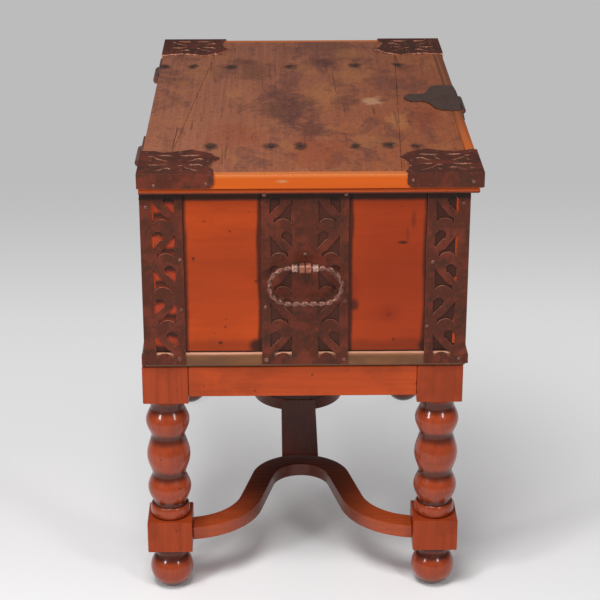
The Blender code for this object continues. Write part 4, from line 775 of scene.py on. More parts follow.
def stand_wood(name, grain, pith, seed, base, shine=0.30):
    """Polished red-brown wood of the stand, darker in its hollows, with darker polish and painted shadow on the
    stretchers' apex.
    """
    recipe = Recipe(name, {"Specular IOR Level": shine, "Coat Weight": shine * 0.5, "Coat Roughness": 0.09})
    rings, fibres = figure(recipe, grain, pith, 0.0095, 0.07, seed)
    streaks = recipe.fade(fibres, 0.44, 0.7)
    recipe.colour = recipe.mix(rings * 0.24, shade(base, 1.1), shade(base, 0.74))
    recipe.lay(streaks * 0.34, shade(base, 0.56))
    clouds = recipe.cloud(recipe.place((3.0, 3.0, 3.0), (seed, seed, 0.0)), 4.2, 4.0, 0.6)
    recipe.lay(recipe.fade(clouds, 0.48, 0.66) * 0.4, shade(base, 0.5))
    specks = recipe.fade(recipe.cloud(recipe.place(shift=(seed, 5.0, 2.0)), 120.0, 1.0), 0.74, 0.79)
    recipe.lay(specks * 0.6, tone(50, 18, 10))
    if grain == "Z":
        leg_hollows(recipe, clouds)
        height = recipe.part("Z")
        (foot, lower_top), (upper_low, _) = LEG_BLOCKS
        between = recipe.fade(height, lower_top, lower_top + 0.002)
        between = between * recipe.fade(height, upper_low, upper_low - 0.002)
        turned = between + recipe.fade(height, foot, foot - 0.001)
        recipe.feed(recipe.shader.inputs["Coat Weight"], turned * 0.5)
    elif name == "stretcher":
        across = recipe.part("Y") - STAND_Y
        # the stretchers' apex under the chest: darker polish and painted shadow of the chest
        apex = recipe.fade(abs(across) + (clouds - 0.5) * 0.05, 0.130, 0.045)
        recipe.lay(apex * 0.78, tone(44, 17, 9))
    recipe.relief(fibres * 0.5 + rings * 0.2, 0.18, 0.0005)
    return recipe.done(0.22 + fibres * 0.12)


def leg_hollows(recipe, clouds):
    """Old polish, dark in the waists of the legs and under their blocks, thin on the bobbins."""
    x = recipe.part("X")
    y = recipe.part("Y") - STAND_Y
    x_off = abs(x) - LEG_X
    y_off = abs(y) - LEG_Y
    radius = (x_off * x_off + y_off * y_off) ** 0.5
    waist = recipe.fade(radius + (clouds - 0.5) * 0.004, 0.0306, 0.0266)
    recipe.lay(waist * 0.78, tone(44, 17, 11))


def sheet_iron(name):
    """Rusted and waxed sheet iron, brown with red and dark patches and a hammered face, and a painted shadow
    under the lid.
    """
    base = tuple(colours().iron)
    recipe = Recipe(name, {"Specular IOR Level": 0.25})
    broad = recipe.cloud(recipe.place(), 26.0, 4.0, 0.6, 0.3)
    fine = recipe.cloud(recipe.place(shift=(3.0, 1.0, 0.0)), 150.0, 4.0, 0.65)
    rusty = tinted(base, tone(120, 50, 34), 0.5)
    recipe.colour = recipe.mix(recipe.fade(broad, 0.45, 0.62), shade(base, 0.80), rusty)
    dark = recipe.fade(recipe.cloud(recipe.place(shift=(1.0, 7.0, 2.0)), 42.0, 4.0, 0.6), 0.52, 0.64)
    recipe.lay(dark * 0.6, tone(56, 38, 26))
    recipe.lay(recipe.fade(fine, 0.54, 0.68) * 0.40, tone(132, 72, 54))
    recipe.lay(recipe.fade(fine, 0.44, 0.32) * 0.45, tone(36, 20, 15))
    height = recipe.part("Z")
    # painted shadow of the lid's overhang on the upper ends of the irons
    under_lid = recipe.fade(height, LID_LOW.z - 0.0245, LID_LOW.z - 0.0185)
    under_lid = under_lid * recipe.fade(height, LID_LOW.z - 0.004, LID_LOW.z - 0.006)
    recipe.lay(under_lid * 0.85, tone(18, 10, 7))
    recipe.feed(recipe.shader.inputs["Metallic"], 0.15 + recipe.fade(fine, 0.45, 0.65) * 0.25)
    hammered = recipe.cloud(recipe.place(shift=(5.0, 5.0, 0.0)), 75.0, 2.0, 0.5)
    recipe.relief(hammered * 0.8 + fine * 0.5, 0.45, 0.0010)
    return recipe.done(0.40 + fine * 0.25)


def rubbed_and_highlit_iron(name, bright, metallic=0.35):
    """Iron worn bright, on edges and on what hands and keys touch; on the irons' cut edges partly a painted
    highlight.
    """
    recipe = Recipe(name, {"Specular IOR Level": 0.6})
    fine = recipe.cloud(recipe.place(), 180.0, 3.0, 0.6)
    broad = recipe.cloud(recipe.place(shift=(4.0, 0.0, 2.0)), 40.0, 3.0, 0.6)
    recipe.colour = recipe.mix(recipe.fade(fine, 0.38, 0.62), shade(bright, 0.55), bright)
    recipe.lay(recipe.fade(broad, 0.54, 0.68) * 0.5, tone(76, 42, 33))
    recipe.feed(recipe.shader.inputs["Metallic"], metallic + fine * 0.2)
    recipe.relief(fine, 0.25, 0.0004)
    return recipe.done(0.28 + fine * 0.2)


def finish_for(key):
    """The finish of this name."""
    stand = tuple(colours().stand)
    rail = tinted(stand, tone(176, 66, 16), 0.85)
    curved = tinted(stand, tone(172, 76, 36), 0.5)
    recipes = {
        "end panel": lambda n: panel_wood(n, "Y", (-0.33, 0.0, 0.60), 0.0),
        "long panel": lambda n: panel_wood(n, "X", (0.0, -0.10, 0.56), 4.0),
        "lid": lid_wood,
        "end moulding": moulding_wood,
        "front moulding": front_strip_wood,
        "bottom": bottom_wood,
        "leg": lambda n: stand_wood(n, "Z", (0.12, 0.02, 0.0), 0.0, stand, 0.16),
        "end rail": lambda n: stand_wood(n, "Y", (-0.30, 0.0, 0.375), 2.0, rail, 0.18),
        "long rail": lambda n: stand_wood(n, "X", (0.0, -0.14, 0.372), 6.0, rail, 0.18),
        "stretcher": lambda n: stand_wood(n, "Y", (-0.30, 0.0, 0.20), 8.0, curved),
        # the centre board under the chest: a darker copy of the stand's colour, as painted shade
        "centre board": lambda n: stand_wood(n, "X", (0.0, 0.02, 0.14), 9.0, shade(stand, 0.55)),
        "sheet iron": sheet_iron,
        "hasp iron": lambda n: rubbed_and_highlit_iron(n, tone(88, 56, 42), 0.15),
        # pale cut edges of the irons: partly worn metal, partly painted highlight along the edges
        "iron edge": lambda n: rubbed_and_highlit_iron(n, tone(226, 160, 132)),
        "forged iron": lambda n: rubbed_and_highlit_iron(n, tuple(colours().forged)),
        "collar iron": lambda n: rubbed_and_highlit_iron(n, tone(184, 140, 124)),
        "eye iron": lambda n: rubbed_and_highlit_iron(n, tone(160, 92, 66), 0.1),
        "nail iron": lambda n: rubbed_and_highlit_iron(n, tone(128, 84, 72)),
        "dark nail": lambda n: rubbed_and_highlit_iron(n, tone(54, 38, 33)),
    }
    return shared(key, recipes[key])


def dressed(nodes, key):
    """Gives the chest's own pieces a finish, where their shape is already right."""
    for name in nodes:
        NODES[name].data.materials.clear()
        NODES[name].data.materials.append(finish_for(key))


# Stand


class CHEST_OT_legs(Operator):
    """Turns one leg with its square blocks and stands a copy at each corner."""

    bl_idname = "chest.legs"
    bl_label = "Turned Legs"

    block_heights = LEG_BLOCKS
    # heights of the waists and bobbins by turns, downward from the neck
    swells = (0.3154, 0.2919, 0.2666, 0.2318, 0.2004, 0.1753, 0.1501)
    fullness = 1.35
    collar_radius = 0.031
    collar_height = 0.0215
    foot_radius = 0.034
    foot_centre = 0.0318
    foot_flat = 0.012

    def profile(self):
        waist, bobbin = sizes().waist, sizes().bobbin
        lower_top = self.block_heights[0][1]
        top = self.block_heights[1][0]
        line = [(0.0, top + BLOCK / 3), (waist + 0.001, top + BLOCK / 3), (waist + 0.0025, top - 0.001)]
        line += [(waist + 0.0030, top - 0.0045), (waist + 0.0008, top - 0.0075), (waist, top - 0.012)]
        for index, (upper, lower) in enumerate(zip(self.swells, self.swells[1:])):
            for step in range(11):
                share = step / 11
                swell = math.sin(QUARTER * (share if index % 2 == 0 else 1 - share)) ** self.fullness
                line.append((waist + (bobbin - waist) * swell, upper + (lower - upper) * share))
        line.append((waist, self.swells[-1]))
        middle = lower_top + self.collar_height / 2
        for step in range(13):
            turn = math.pi * step / 12
            radius = waist + (self.collar_radius - waist) * math.sin(turn) ** 0.8
            line.append((radius, middle + self.collar_height / 2 * math.cos(turn)))
        line += [(0.027, self.block_heights[0][0]), (0.027, 0.0672), (0.0276, 0.0655), (0.0276, 0.0635)]
        line += [(0.0266, 0.0612), (0.0254, 0.0590)]
        flat_turn = math.asin(self.foot_flat / self.foot_radius)
        half_height = self.foot_centre / math.cos(flat_turn)
        start = math.asin(0.0245 / self.foot_radius)
        for step in range(21):
            turn = start + (math.pi - flat_turn - start) * step / 20
            height = max(self.foot_centre + half_height * math.cos(turn), 0.0)
            line.append((self.foot_radius * math.sin(turn), height))
        return line + [(0.0, 0.0)]

    def execute(self, context):
        finish = finish_for("leg")
        leg = turned("leg spindle", self.profile(), sizes().lathe_sides, finish)
        half = BLOCK / 2
        blocks = [
            block("leg block", (-half, -half, low), (half, half, high), sizes().block_edge, finish)
            for low, high in self.block_heights
        ]
        combined(leg, blocks, "UNION")
        smoothed(leg)
        for depth_name, depth in DEPTHS.items():
            for side_name, side in SIDES.items():
                made = copy_of(leg, Matrix.Translation((side * LEG_X, STAND_Y + depth * LEG_Y, 0.0)))
                node = f"leg_{depth_name}_{side_name}"
                fitted(made, f"turned_{node}", "stand", [node])
        bpy.data.objects.remove(leg, do_unlink=True)
        return {"FINISHED"}


class CHEST_OT_rails(Operator):
    """Squares the rails between the legs, with worn arrises."""

    bl_idname = "chest.rails"
    bl_label = "Rails"

    tenon = 0.0261
    arris = 0.0014

    def execute(self, context):
        for name in ("rail_front", "rail_back", "rail_left", "rail_right"):
            low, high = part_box(name)
            key = "end rail" if name in ("rail_left", "rail_right") else "long rail"
            along = 1 if key == "end rail" else 0
            low[along] += self.tenon
            high[along] -= self.tenon
            piece = block(f"worn_{name}", low, high, self.arris, finish_for(key), 3)
            smoothed(piece)
            fitted(piece, f"worn_{name}", "stand", [name])
        return {"FINISHED"}


class CHEST_OT_stretchers(Operator):
    """Saws the curved flat stretchers and the board between their apexes, and chamfers their edges."""

    bl_idname = "chest.stretchers"
    bl_label = "Curved Stretchers"

    sweep = math.radians(76.9)
    first_bend_share = 0.625
    bend_inset = 0.0126
    reach = 0.2168
    width = 0.036
    steps = 16

    def middle_line(self):
        """Half of the S-curve as (inward, across, heading), from inside its leg to its apex."""
        run = LEG_Y - BLOCK / 2 + self.bend_inset
        sine, cosine = math.sin(self.sweep), math.cos(self.sweep)
        radii = (run * sine - self.reach * cosine) / (1 - cosine)
        first = radii * self.first_bend_share
        second = radii - first
        line = []
        for step in range(self.steps + 1):
            turn = self.sweep * step / self.steps
            line.append((first * (1 - math.cos(turn)), run - first * math.sin(turn), turn))
        for step in range(self.steps, -1, -1):
            turn = self.sweep * step / self.steps
            line.append((self.reach - second * (1 - math.cos(turn)), second * math.sin(turn), turn))
        return line

    def edge(self, offset):
        """One edge of half the curve, from the face of its leg to its apex."""
        edge = [(i + offset * math.cos(a), c + offset * math.sin(a)) for i, c, a in self.middle_line()]
        face = LEG_Y - BLOCK / 2 - GAP
        first = next(index for index, point in enumerate(edge) if point[1] < face)
        before, after = Vector(edge[first - 1]), Vector(edge[first])
        crossing = before.lerp(after, (before.y - face) / (before.y - after.y))
        return [tuple(crossing)] + edge[first:]

    def outline(self):
        rows = []
        for offset in (-self.width / 2, self.width / 2):
            row = self.edge(offset)
            rows.append(row + [(inward, -across) for inward, across in row[-2::-1]])
        return rows[0] + rows[1][::-1]

    def execute(self, context):
        low, high = STRETCHER_LOW.z, STRETCHER_HIGH.z
        outline = [(-(LEG_X - inward), STAND_Y + across) for inward, across in self.outline()]
        left = sheet("curved stretcher", [outline], [finish_for("stretcher")])
        set_down(left, place=(0.0, 0.0, low))
        thickened(left, high - low)
        edges_rounded(left, sizes().stretcher_chamfer, 2)
        smoothed(left)
        change = Matrix.Diagonal((-1.0, 1.0, 1.0, 1.0))
        right = copy_of(left, change)
        for piece, side in ((left, "left"), (right, "right")):
            fitted(piece, f"curved_stretcher_{side}", "stand", [f"stretcher_{side}"])
        apex = LEG_X - self.reach - self.width / 2 - GAP
        centre = block(
            "centre board",
            (-apex, CENTRE_LOW.y, low + 0.0006),
            (apex, CENTRE_HIGH.y, high - 0.0004),
            0.0014,
            finish_for("centre board"),
        )
        smoothed(centre)
        fitted(centre, "stretcher_board", "stand", ["stretcher_centre"])
        return {"FINISHED"}


# Nails


def domed_head(radius, rise, finish):
    """A nail's head standing on the XY plane."""
    head = new_piece(bpy.ops.mesh.primitive_uv_sphere_add, segments=10, ring_count=6, radius=radius)
    head.data.materials.append(finish)
    with editing(head):
        cut = (0.0, 0.0, -radius * 0.3)
        bpy.ops.mesh.bisect(plane_co=cut, plane_no=(0.0, 0.0, 1.0), clear_inner=True, use_fill=True)
        bpy.ops.mesh.select_all(action="SELECT")
        bpy.ops.transform.resize(value=(1.0, 1.0, rise / radius), center_override=(0.0, 0.0, 0.0))
    make_active(head)
    bpy.ops.object.shade_smooth()
    return head


def spread_heads(head, places, name, seed=7):
    """Copies of a head at each (point, direction), each a little different in size and turn."""
    draw = random.Random(seed)
    copies = []
    for point, direction in places:
        turn = direction.to_track_quat("Z", "Y").to_matrix().to_4x4()
        spin = Matrix.Rotation(draw.uniform(0.0, math.tau), 4, "Z")
        size = draw.uniform(0.85, 1.12)
        grow = Matrix.Diagonal((size, size * draw.uniform(0.88, 1.0), 1.0, 1.0))
        copies.append(copy_of(head, Matrix.Translation(point) @ turn @ spin @ grow))
    bpy.data.objects.remove(head, do_unlink=True)
    return gathered(name, copies)


# Boards


class CHEST_OT_boards(Operator):
    """Waxes the chest's boards and rounds and chips the bottom board."""

    bl_idname = "chest.boards"
    bl_label = "Chest Boards"

    def execute(self, context):
        dressed(("left_end_panel", "right_end_panel"), "end panel")
        dressed(("front_panel", "back_panel"), "long panel")
        dressed(("lid_batten_left", "lid_batten_right"), "lid")
        board = block("worn bottom board", BOTTOM_LOW, BOTTOM_HIGH, 0.0055, finish_for("bottom"), 4)
        combined(board, self.chips(), "DIFFERENCE")
        smoothed(board)
        fitted(board, "worn_bottom_board", "chest", ["bottom_board"])
        return {"FINISHED"}

    def chips(self):
        """Small wedges knocked out of the upper arris of the board's edge."""
        draw = random.Random(3)
        places = [(-1, -0.103, 0.007), (-1, 0.135, 0.004), (-1, -0.160, 0.004)]
        places += [(side, draw.uniform(-0.16, 0.16), draw.uniform(0.003, 0.006)) for side in (-1, 1, 1)]
        cutters = []
        for side, y, size in places:
            edge = BOTTOM_HIGH.x if side > 0 else BOTTOM_LOW.x
            place = (edge, y, BOTTOM_HIGH.z + 0.0006)
            add = bpy.ops.mesh.primitive_ico_sphere_add
            cutter = new_piece(add, subdivisions=1, radius=size, location=place)
            cutter.scale = (0.55, 1.5, 0.5)
            cutters.append(set_down(cutter, (0.0, 0.0, draw.uniform(-0.2, 0.2)), cutter.location))
        return cutters


def crack_outline(start, end, width, seed):
    """A thin wandering wedge along a crack, in plan."""
    draw = random.Random(seed)
    start, end = Vector(start), Vector(end)
    steps = max(6, int((end - start).length / 0.012))
    along = (end - start) / steps
    across = Vector((-along.y, along.x)).normalized()
    drift = 0.0
    upper, lower = [], []
    for step in range(steps + 1):
        share = step / steps
        swell = math.sin(math.pi * min(max(share, 0.04), 0.96)) ** 0.6
        drift += draw.uniform(-0.0007, 0.0007)
        middle = start + along * step + across * drift * (1.0 if 0 < step < steps else 0.3)
        half = width / 2 * swell * draw.uniform(0.6, 1.1)
        upper.append(tuple(middle + across * half))
        lower.append(tuple(middle - across * half))
    return upper + lower[::-1]


class CHEST_OT_lid_boards(Operator):
    """Makes the lid's three boards with their open joints and the cracks that run along them."""

    bl_idname = "chest.lid_boards"
    bl_label = "Lid Boards"

    crack_depth = 0.0042
    cracks = (
        ((-0.380, -0.1365), (-0.066, -0.1335), 1.0, "front"),
        ((0.216, -0.169), (0.284, -0.166), 1.0, "front"),
        ((0.030, -0.052), (0.180, -0.0515), 0.9, "middle"),
        ((-0.110, -0.062), (-0.020, -0.060), 0.5, "middle"),
        ((-0.287, 0.207), (-0.151, 0.203), 1.0, "back"),
        ((0.175, 0.161), (0.295, 0.159), 0.8, "middle"),
        ((0.300, 0.012), (0.372, 0.004), 0.6, "middle"),
        ((-0.230, 0.088), (-0.190, 0.086), 0.6, "middle"),
        ((0.020, 0.137), (0.062, 0.135), 0.5, "middle"),
    )

    def execute(self, context):
        joints = {}
        for place in ("front", "middle", "back"):
            joints[place] = self.corners(NODES[f"lid_board_{place}"].data)
        for place, corners in joints.items():
            board = sheet(f"lid board {place}", [corners], [finish_for("lid")])
            set_down(board, place=(0.0, 0.0, LID_LOW.z))
            thickened(board, LID_HIGH.z - LID_LOW.z)
            edges_rounded(board, sizes().board_edge, 3)
            cutters = [
                self.cutter(start, end, share, index)
                for index, (start, end, share, where) in enumerate(self.cracks)
                if where == place
            ]
            combined(board, cutters, "DIFFERENCE")
            smoothed(board)
            fitted(board, f"weathered_board_{place}", "lid", [f"lid_board_{place}"])
        return {"FINISHED"}

    def corners(self, mesh):
        """The four corners of a board in plan, in order round it."""
        found = sorted({(round(v.co.x, 5), round(v.co.y, 5)) for v in mesh.vertices})
        left, right = sorted(found[:2], key=lambda c: c[1]), sorted(found[2:], key=lambda c: c[1])
        return [left[0], right[0], right[1], left[1]]

    def cutter(self, start, end, share, seed):
        tool = sheet("crack", [crack_outline(start, end, sizes().crack * share, seed)], [])
        set_down(tool, place=(0.0, 0.0, LID_HIGH.z - self.crack_depth))
        return thickened(tool, self.crack_depth + OVERRUN)


def moulding_section(width, overhang):
    """Section of an edge strip as (distance in from the outer face, height): fascia, quirk and bead."""
    bead_top = LID_LOW.z - 0.0012
    bead_bottom = LID_LOW.z - 0.0094
    middle = (bead_top + bead_bottom) / 2
    half = (bead_top - bead_bottom) / 2
    bead = arc((0.0064, middle), (0.0034, half), (90.0, 270.0), 12)
    shelf = LID_LOW.z - GAP
    top = LID_HIGH.z
    soft = 0.0010
    arris = arc((soft, top - soft), (soft, soft), (90.0, 180.0), 4)
    foot = arc((0.0007, LID_LOW.z + 0.0007), (0.0007, 0.0007), (180.0, 270.0), 3)
    return (
        [(width, top)]
        + arris
        + foot
        + [(0.0045, LID_LOW.z), (0.0045, bead_top)]
        + bead[1:]
        + [(overhang, bead_bottom), (overhang, shelf), (width, shelf)]
    )


class CHEST_OT_mouldings(Operator):
    """Runs the edge strips of the lid, fascia over bead, and mitres them at the front corners."""

    bl_idname = "chest.mouldings"
    bl_label = "Lid Mouldings"

    end_width = 0.013
    front_width = 0.015
    end_lip = 0.0152
    front_lip = 0.0132

    def strip(self, name, section, low, high, finish):
        """A length of moulding along X whose outer face lies on y = 0 and faces -Y."""
        piece = sheet(name, [section], [finish])
        set_down(piece, (QUARTER, 0.0, QUARTER), (low, 0.0, 0.0))
        thickened(piece, high - low)
        return piece

    def mitre(self, piece, point, away):
        """Cuts off what lies beyond a plane and fills the cut."""
        with editing(piece):
            bpy.ops.mesh.bisect(plane_co=point, plane_no=away, clear_outer=True, use_fill=True)

    def execute(self, context):
        end_x, front_y, back_y = LID_LOW.x, LID_LOW.y, LID_HIGH.y
        end_width, front_width = self.end_width, self.front_width
        front_form = moulding_section(front_width, self.front_lip)
        front = self.strip("front strip", front_form, end_x, -end_x, finish_for("front moulding"))
        set_down(front, place=(0.0, front_y, 0.0))
        slope = Vector((front_width, end_width, 0.0)).normalized()
        for side in (-1, 1):
            corner = (side * (-end_x - GAP), front_y, 0.0)
            self.mitre(front, corner, (side * slope.x, slope.y, 0.0))
        smoothed(front)
        fitted(front, "beaded_strip_front", "lid", ["lid_moulding_front"])
        end_form = moulding_section(end_width, self.end_lip)
        left = self.strip("end strip", end_form, -back_y, -front_y, finish_for("end moulding"))
        set_down(left, (0.0, 0.0, -QUARTER), (end_x, 0.0, 0.0))
        self.mitre(left, (end_x, front_y + GAP, 0.0), (slope.x, -slope.y, 0.0))
        smoothed(left)
        right = copy_of(left, Matrix.Diagonal((-1.0, 1.0, 1.0, 1.0)))
        for piece, side in ((left, "left"), (right, "right")):
            fitted(piece, f"beaded_strip_{side}", "lid", [f"lid_moulding_{side}"])
        return {"FINISHED"}


# Pierced iron


def scroll(hand, left, width, low, pitch):
    """The two openings of a scroll, a hooked half heart over the stem and a fin under it, on either hand."""
    heart = [(0.97, 0.375), (0.97, 0.80)]
    heart += arc((0.72, 0.760), (0.205, 0.140), (30.0, 212.0), 14)
    heart += arc((0.605, 0.680), (0.065, 0.050), (170.0, 290.0), 5)
    fin = [(0.03, 0.81), (0.09, 0.74), (0.56, 0.345), (0.80, 0.245)]
    fin += arc((0.42, 0.0), (0.39, 0.250), (18.0, 150.0), 12)
    placed = []
    for opening in (heart, fin):
        turned_shares = [(across if hand > 0 else 1 - across, up) for across, up in opening]
        placed.append([(left + across * width, low + up * pitch) for across, up in turned_shares])
    return placed


def scroll_column(left, width, low, pitch, count, top_hand):
    """Scrolls stacked in a column, each the mirror of the one above it."""
    openings = []
    for index in range(count):
        hand = top_hand * (-1) ** (count - 1 - index)
        openings += scroll(hand, left, width, low + index * pitch, pitch)
    return openings


IRON_STEP_Z = BOTTOM_HIGH.z - 0.004
IRON_STEP_RISE = 0.010
IRON_STEP_OUT = 0.004
SCROLL_WIDTH = 0.036
SCROLL_LOW = IRON_LOW_Z + 0.0045
SCROLL_COUNT = 5
SCROLL_PITCH = (IRON_HIGH_Z - 0.008 - SCROLL_LOW) / SCROLL_COUNT


def iron_finishes():
    """Finishes of a pierced iron: its faces, then its cut edges."""
    return [finish_for("sheet iron"), finish_for("iron edge")]


def iron_body(piece):
    """Gives a folded sheet the thickness of the irons, and rounds its edges in the pale edge finish: partly
    wear, partly painted highlight.
    """
    thickened(piece, sizes().iron_sheet, 1)
    return edges_rounded(piece, sizes().iron_edge, 2, 1)


def step_lines():
    """Creases where an iron steps out over the proud bottom board."""
    return [((0.0, IRON_STEP_Z + IRON_STEP_RISE), (0.0, 1.0)), ((0.0, IRON_STEP_Z), (0.0, 1.0))]


def stepped_out(piece, faces):
    """Leans an iron out between its two creases, and moves all below them out over the proud board."""
    top = IRON_STEP_Z + IRON_STEP_RISE
    moves = [(IRON_LOW_Z - OVERRUN, IRON_STEP_Z + WELD, 1.0)]
    lowest = IRON_STEP_Z + 2 * WELD
    for height in sorted(v.co.z for v in piece.data.vertices if lowest < v.co.z < top - WELD):
        if height > moves[-1][1]:
            moves.append((height - WELD / 4, height + WELD / 2, (top - height) / IRON_STEP_RISE))
    with editing(piece):
        for low, high, share in moves:
            for outward, belongs in faces:
                choose(piece, "VERT", lambda p: low < p.z < high and belongs(p))
                bpy.ops.transform.translate(value=Vector(outward) * IRON_STEP_OUT * share)


def ragged_side(x, low, high, amount, seed):
    """A worn upright edge that wanders a little."""
    draw = random.Random(seed)
    steps = 14
    inward = -1.0 if x > 0 else 1.0
    heights = [low + (high - low) * step / steps for step in range(1, steps)]
    return [(x + inward * draw.uniform(0.0, amount), height) for height in heights]


def upright_iron(name, half_width, wander, seed, columns, creases, openings=()):
    """A flat iron with worn sides and columns of scrolls, each as (left edge, hand of the top scroll)."""
    low, high = IRON_LOW_Z, IRON_HIGH_Z
    right = ragged_side(half_width, low, high, wander, seed)
    left = ragged_side(-half_width, low, high, wander, seed + 1)[::-1]
    outline = [(-half_width, low), (half_width, low)] + right
    outline += [(half_width, high), (-half_width, high)] + left
    outlines = [outline]
    for edge, top_hand in columns:
        outlines += scroll_column(edge, SCROLL_WIDTH, SCROLL_LOW, SCROLL_PITCH, SCROLL_COUNT, top_hand)
    return sheet(name, outlines + list(openings), iron_finishes(), creases)


class CHEST_OT_corner_irons(Operator):
    """Cuts, folds and thickens the four pierced irons on the upright corners."""

    bl_idname = "chest.corner_irons"
    bl_label = "Corner Irons"

    half_width = 0.061
    margin = 0.014
    wander = 0.0009

    def flat(self, seed):
        columns = ((-self.margin - SCROLL_WIDTH, 1), (self.margin, 1))
        creases = [((0.0, 0.0), (1.0, 0.0))] + step_lines()
        return upright_iron("corner iron", self.half_width, self.wander, seed, columns, creases)

    def execute(self, context):
        turns = {"front_left": 0, "front_right": 1, "back_right": 2, "back_left": 3}
        for name, turn in turns.items():
            iron = self.flat(turn * 10)
            set_down(iron, (QUARTER, 0.0, 0.0))
            with editing(iron):
                choose(iron, "VERT", lambda p: p.x < WELD)
                turn_chosen(-QUARTER, "Z", (0.0, 0.0, 0.0))
            on_end = ((-1.0, 0.0, 0.0), lambda p: p.x < WELD)
            on_long = ((0.0, -1.0, 0.0), lambda p: p.y < WELD)
            stepped_out(iron, (on_end, on_long))
            iron_body(iron)
            reach = self.corner(turn)
            set_down(iron, (0.0, 0.0, turn * QUARTER), reach)
            smoothed(iron)
            node = f"corner_iron_{name}"
            fitted(iron, f"pierced_{node}", "chest", [node])
        return {"FINISHED"}

    def corner(self, turn):
        """The chest's corner that a quarter turn of the iron lands on, a gap off its boards."""
        signs = ((-1, -1), (1, -1), (1, 1), (-1, 1))[turn]
        return (signs[0] * (CHEST_END + GAP), MIDDLE_Y + signs[1] * (BACK_Y - MIDDLE_Y + GAP), 0.0)


class CHEST_OT_end_plates(Operator):
    """Cuts the wide pierced plates on the middle of both ends."""

    bl_idname = "chest.end_plates"
    bl_label = "End Plates"

    half_width = 0.065
    margin = 0.0115
    wander = 0.0008
    shank = (0.0090, 0.0028)
    axis_height = 0.561

    def flat(self, seed):
        edge = self.half_width - self.margin
        wide, tall = self.shank
        slot = rectangle((-wide, self.axis_height - tall), (wide, self.axis_height + tall))
        columns = ((-edge, -1), (edge - SCROLL_WIDTH, 1))
        return upright_iron("end plate", self.half_width, self.wander, seed, columns, step_lines(), [slot])

    def execute(self, context):
        for side_name, side in SIDES.items():
            plate = self.flat(50 + side)
            set_down(plate, (QUARTER, 0.0, 0.0))
            stepped_out(plate, (((0.0, -1.0, 0.0), lambda p: True),))
            iron_body(plate)
            set_down(plate, (0.0, 0.0, side * QUARTER), (side * (CHEST_END + GAP), MIDDLE_Y, 0.0))
            smoothed(plate)
            node = f"end_plate_{side_name}"
            fitted(plate, f"pierced_{node}", "chest", [node])
        return {"FINISHED"}


class CHEST_OT_lid_irons(Operator):
    """Cuts, pierces and folds the irons over the four corners of the lid."""

    bl_idname = "chest.lid_irons"
    bl_label = "Lid Corner Irons"

    arm = 0.110
    flange = 0.0205
    bevel = 0.006
    wander = 0.0012
    free_edge = (
        (0.00, 0.00), (0.06, 0.01), (0.13, -0.015), (0.20, -0.02), (0.255, -0.055), (0.30, -0.075),
        (0.34, -0.045), (0.39, -0.055), (0.44, -0.045), (0.48, -0.015), (0.52, -0.025), (0.57, 0.01),
        (0.62, 0.035), (0.68, 0.07), (0.71, 0.045), (0.735, 0.005), (0.76, 0.01), (0.80, -0.02),
        (0.84, -0.05), (0.88, -0.06),
    )

    def flat(self, seed):
        draw = random.Random(seed)
        arm, flange = self.arm, self.flange
        outline = [(-flange, 0.0), (0.0, 0.0), (0.0, -flange)]
        outline += [(arm - self.bevel, -flange), (arm, -flange + self.bevel)]
        free = []
        for along, out in self.free_edge:
            free.append((arm + out * arm + draw.uniform(-self.wander, self.wander), along * arm))
        outline += free
        outline += [(up, across) for across, up in free[::-1]]
        outline += [(-flange + self.bevel, arm), (-flange, arm - self.bevel)]
        openings = []
        for index in range(2):
            openings += scroll_column(0.012 + index * 0.045, 0.034, 0.006, 0.046, 2, (-1) ** index)
        creases = [((0.0, 0.0), (1.0, 0.0)), ((0.0, 0.0), (0.0, 1.0))]
        return sheet("lid iron", [outline] + openings, iron_finishes(), creases)

    def execute(self, context):
        for depth_name, depth in DEPTHS.items():
            for side_name, side in SIDES.items():
                iron = self.flat(80 + 3 * side + depth)
                with editing(iron):
                    choose(iron, "VERT", lambda p: p.x < -WELD)
                    turn_chosen(-QUARTER, "Y", (0.0, 0.0, 0.0))
                    choose(iron, "VERT", lambda p: p.y < -WELD)
                    turn_chosen(QUARTER, "X", (0.0, 0.0, 0.0))
                    bpy.ops.mesh.select_all(action="SELECT")
                    bpy.ops.mesh.remove_doubles(threshold=WELD)
                # the flat's x runs in from the end and its y in from the long edge
                iron_body(iron)
                corner = (side * (LID_HIGH.x + GAP), depth * (LID_HIGH.y + GAP), LID_HIGH.z + GAP)
                mirror = Matrix.Diagonal((-side, -depth, 1.0, 1.0))
                made = copy_of(iron, Matrix.Translation(corner) @ mirror)
                bpy.data.objects.remove(iron, do_unlink=True)
                smoothed(made)
                node = f"lid_iron_{depth_name}_{side_name}"
                fitted(made, f"pierced_{node}", "lid", [node])
        return {"FINISHED"}


# Handles


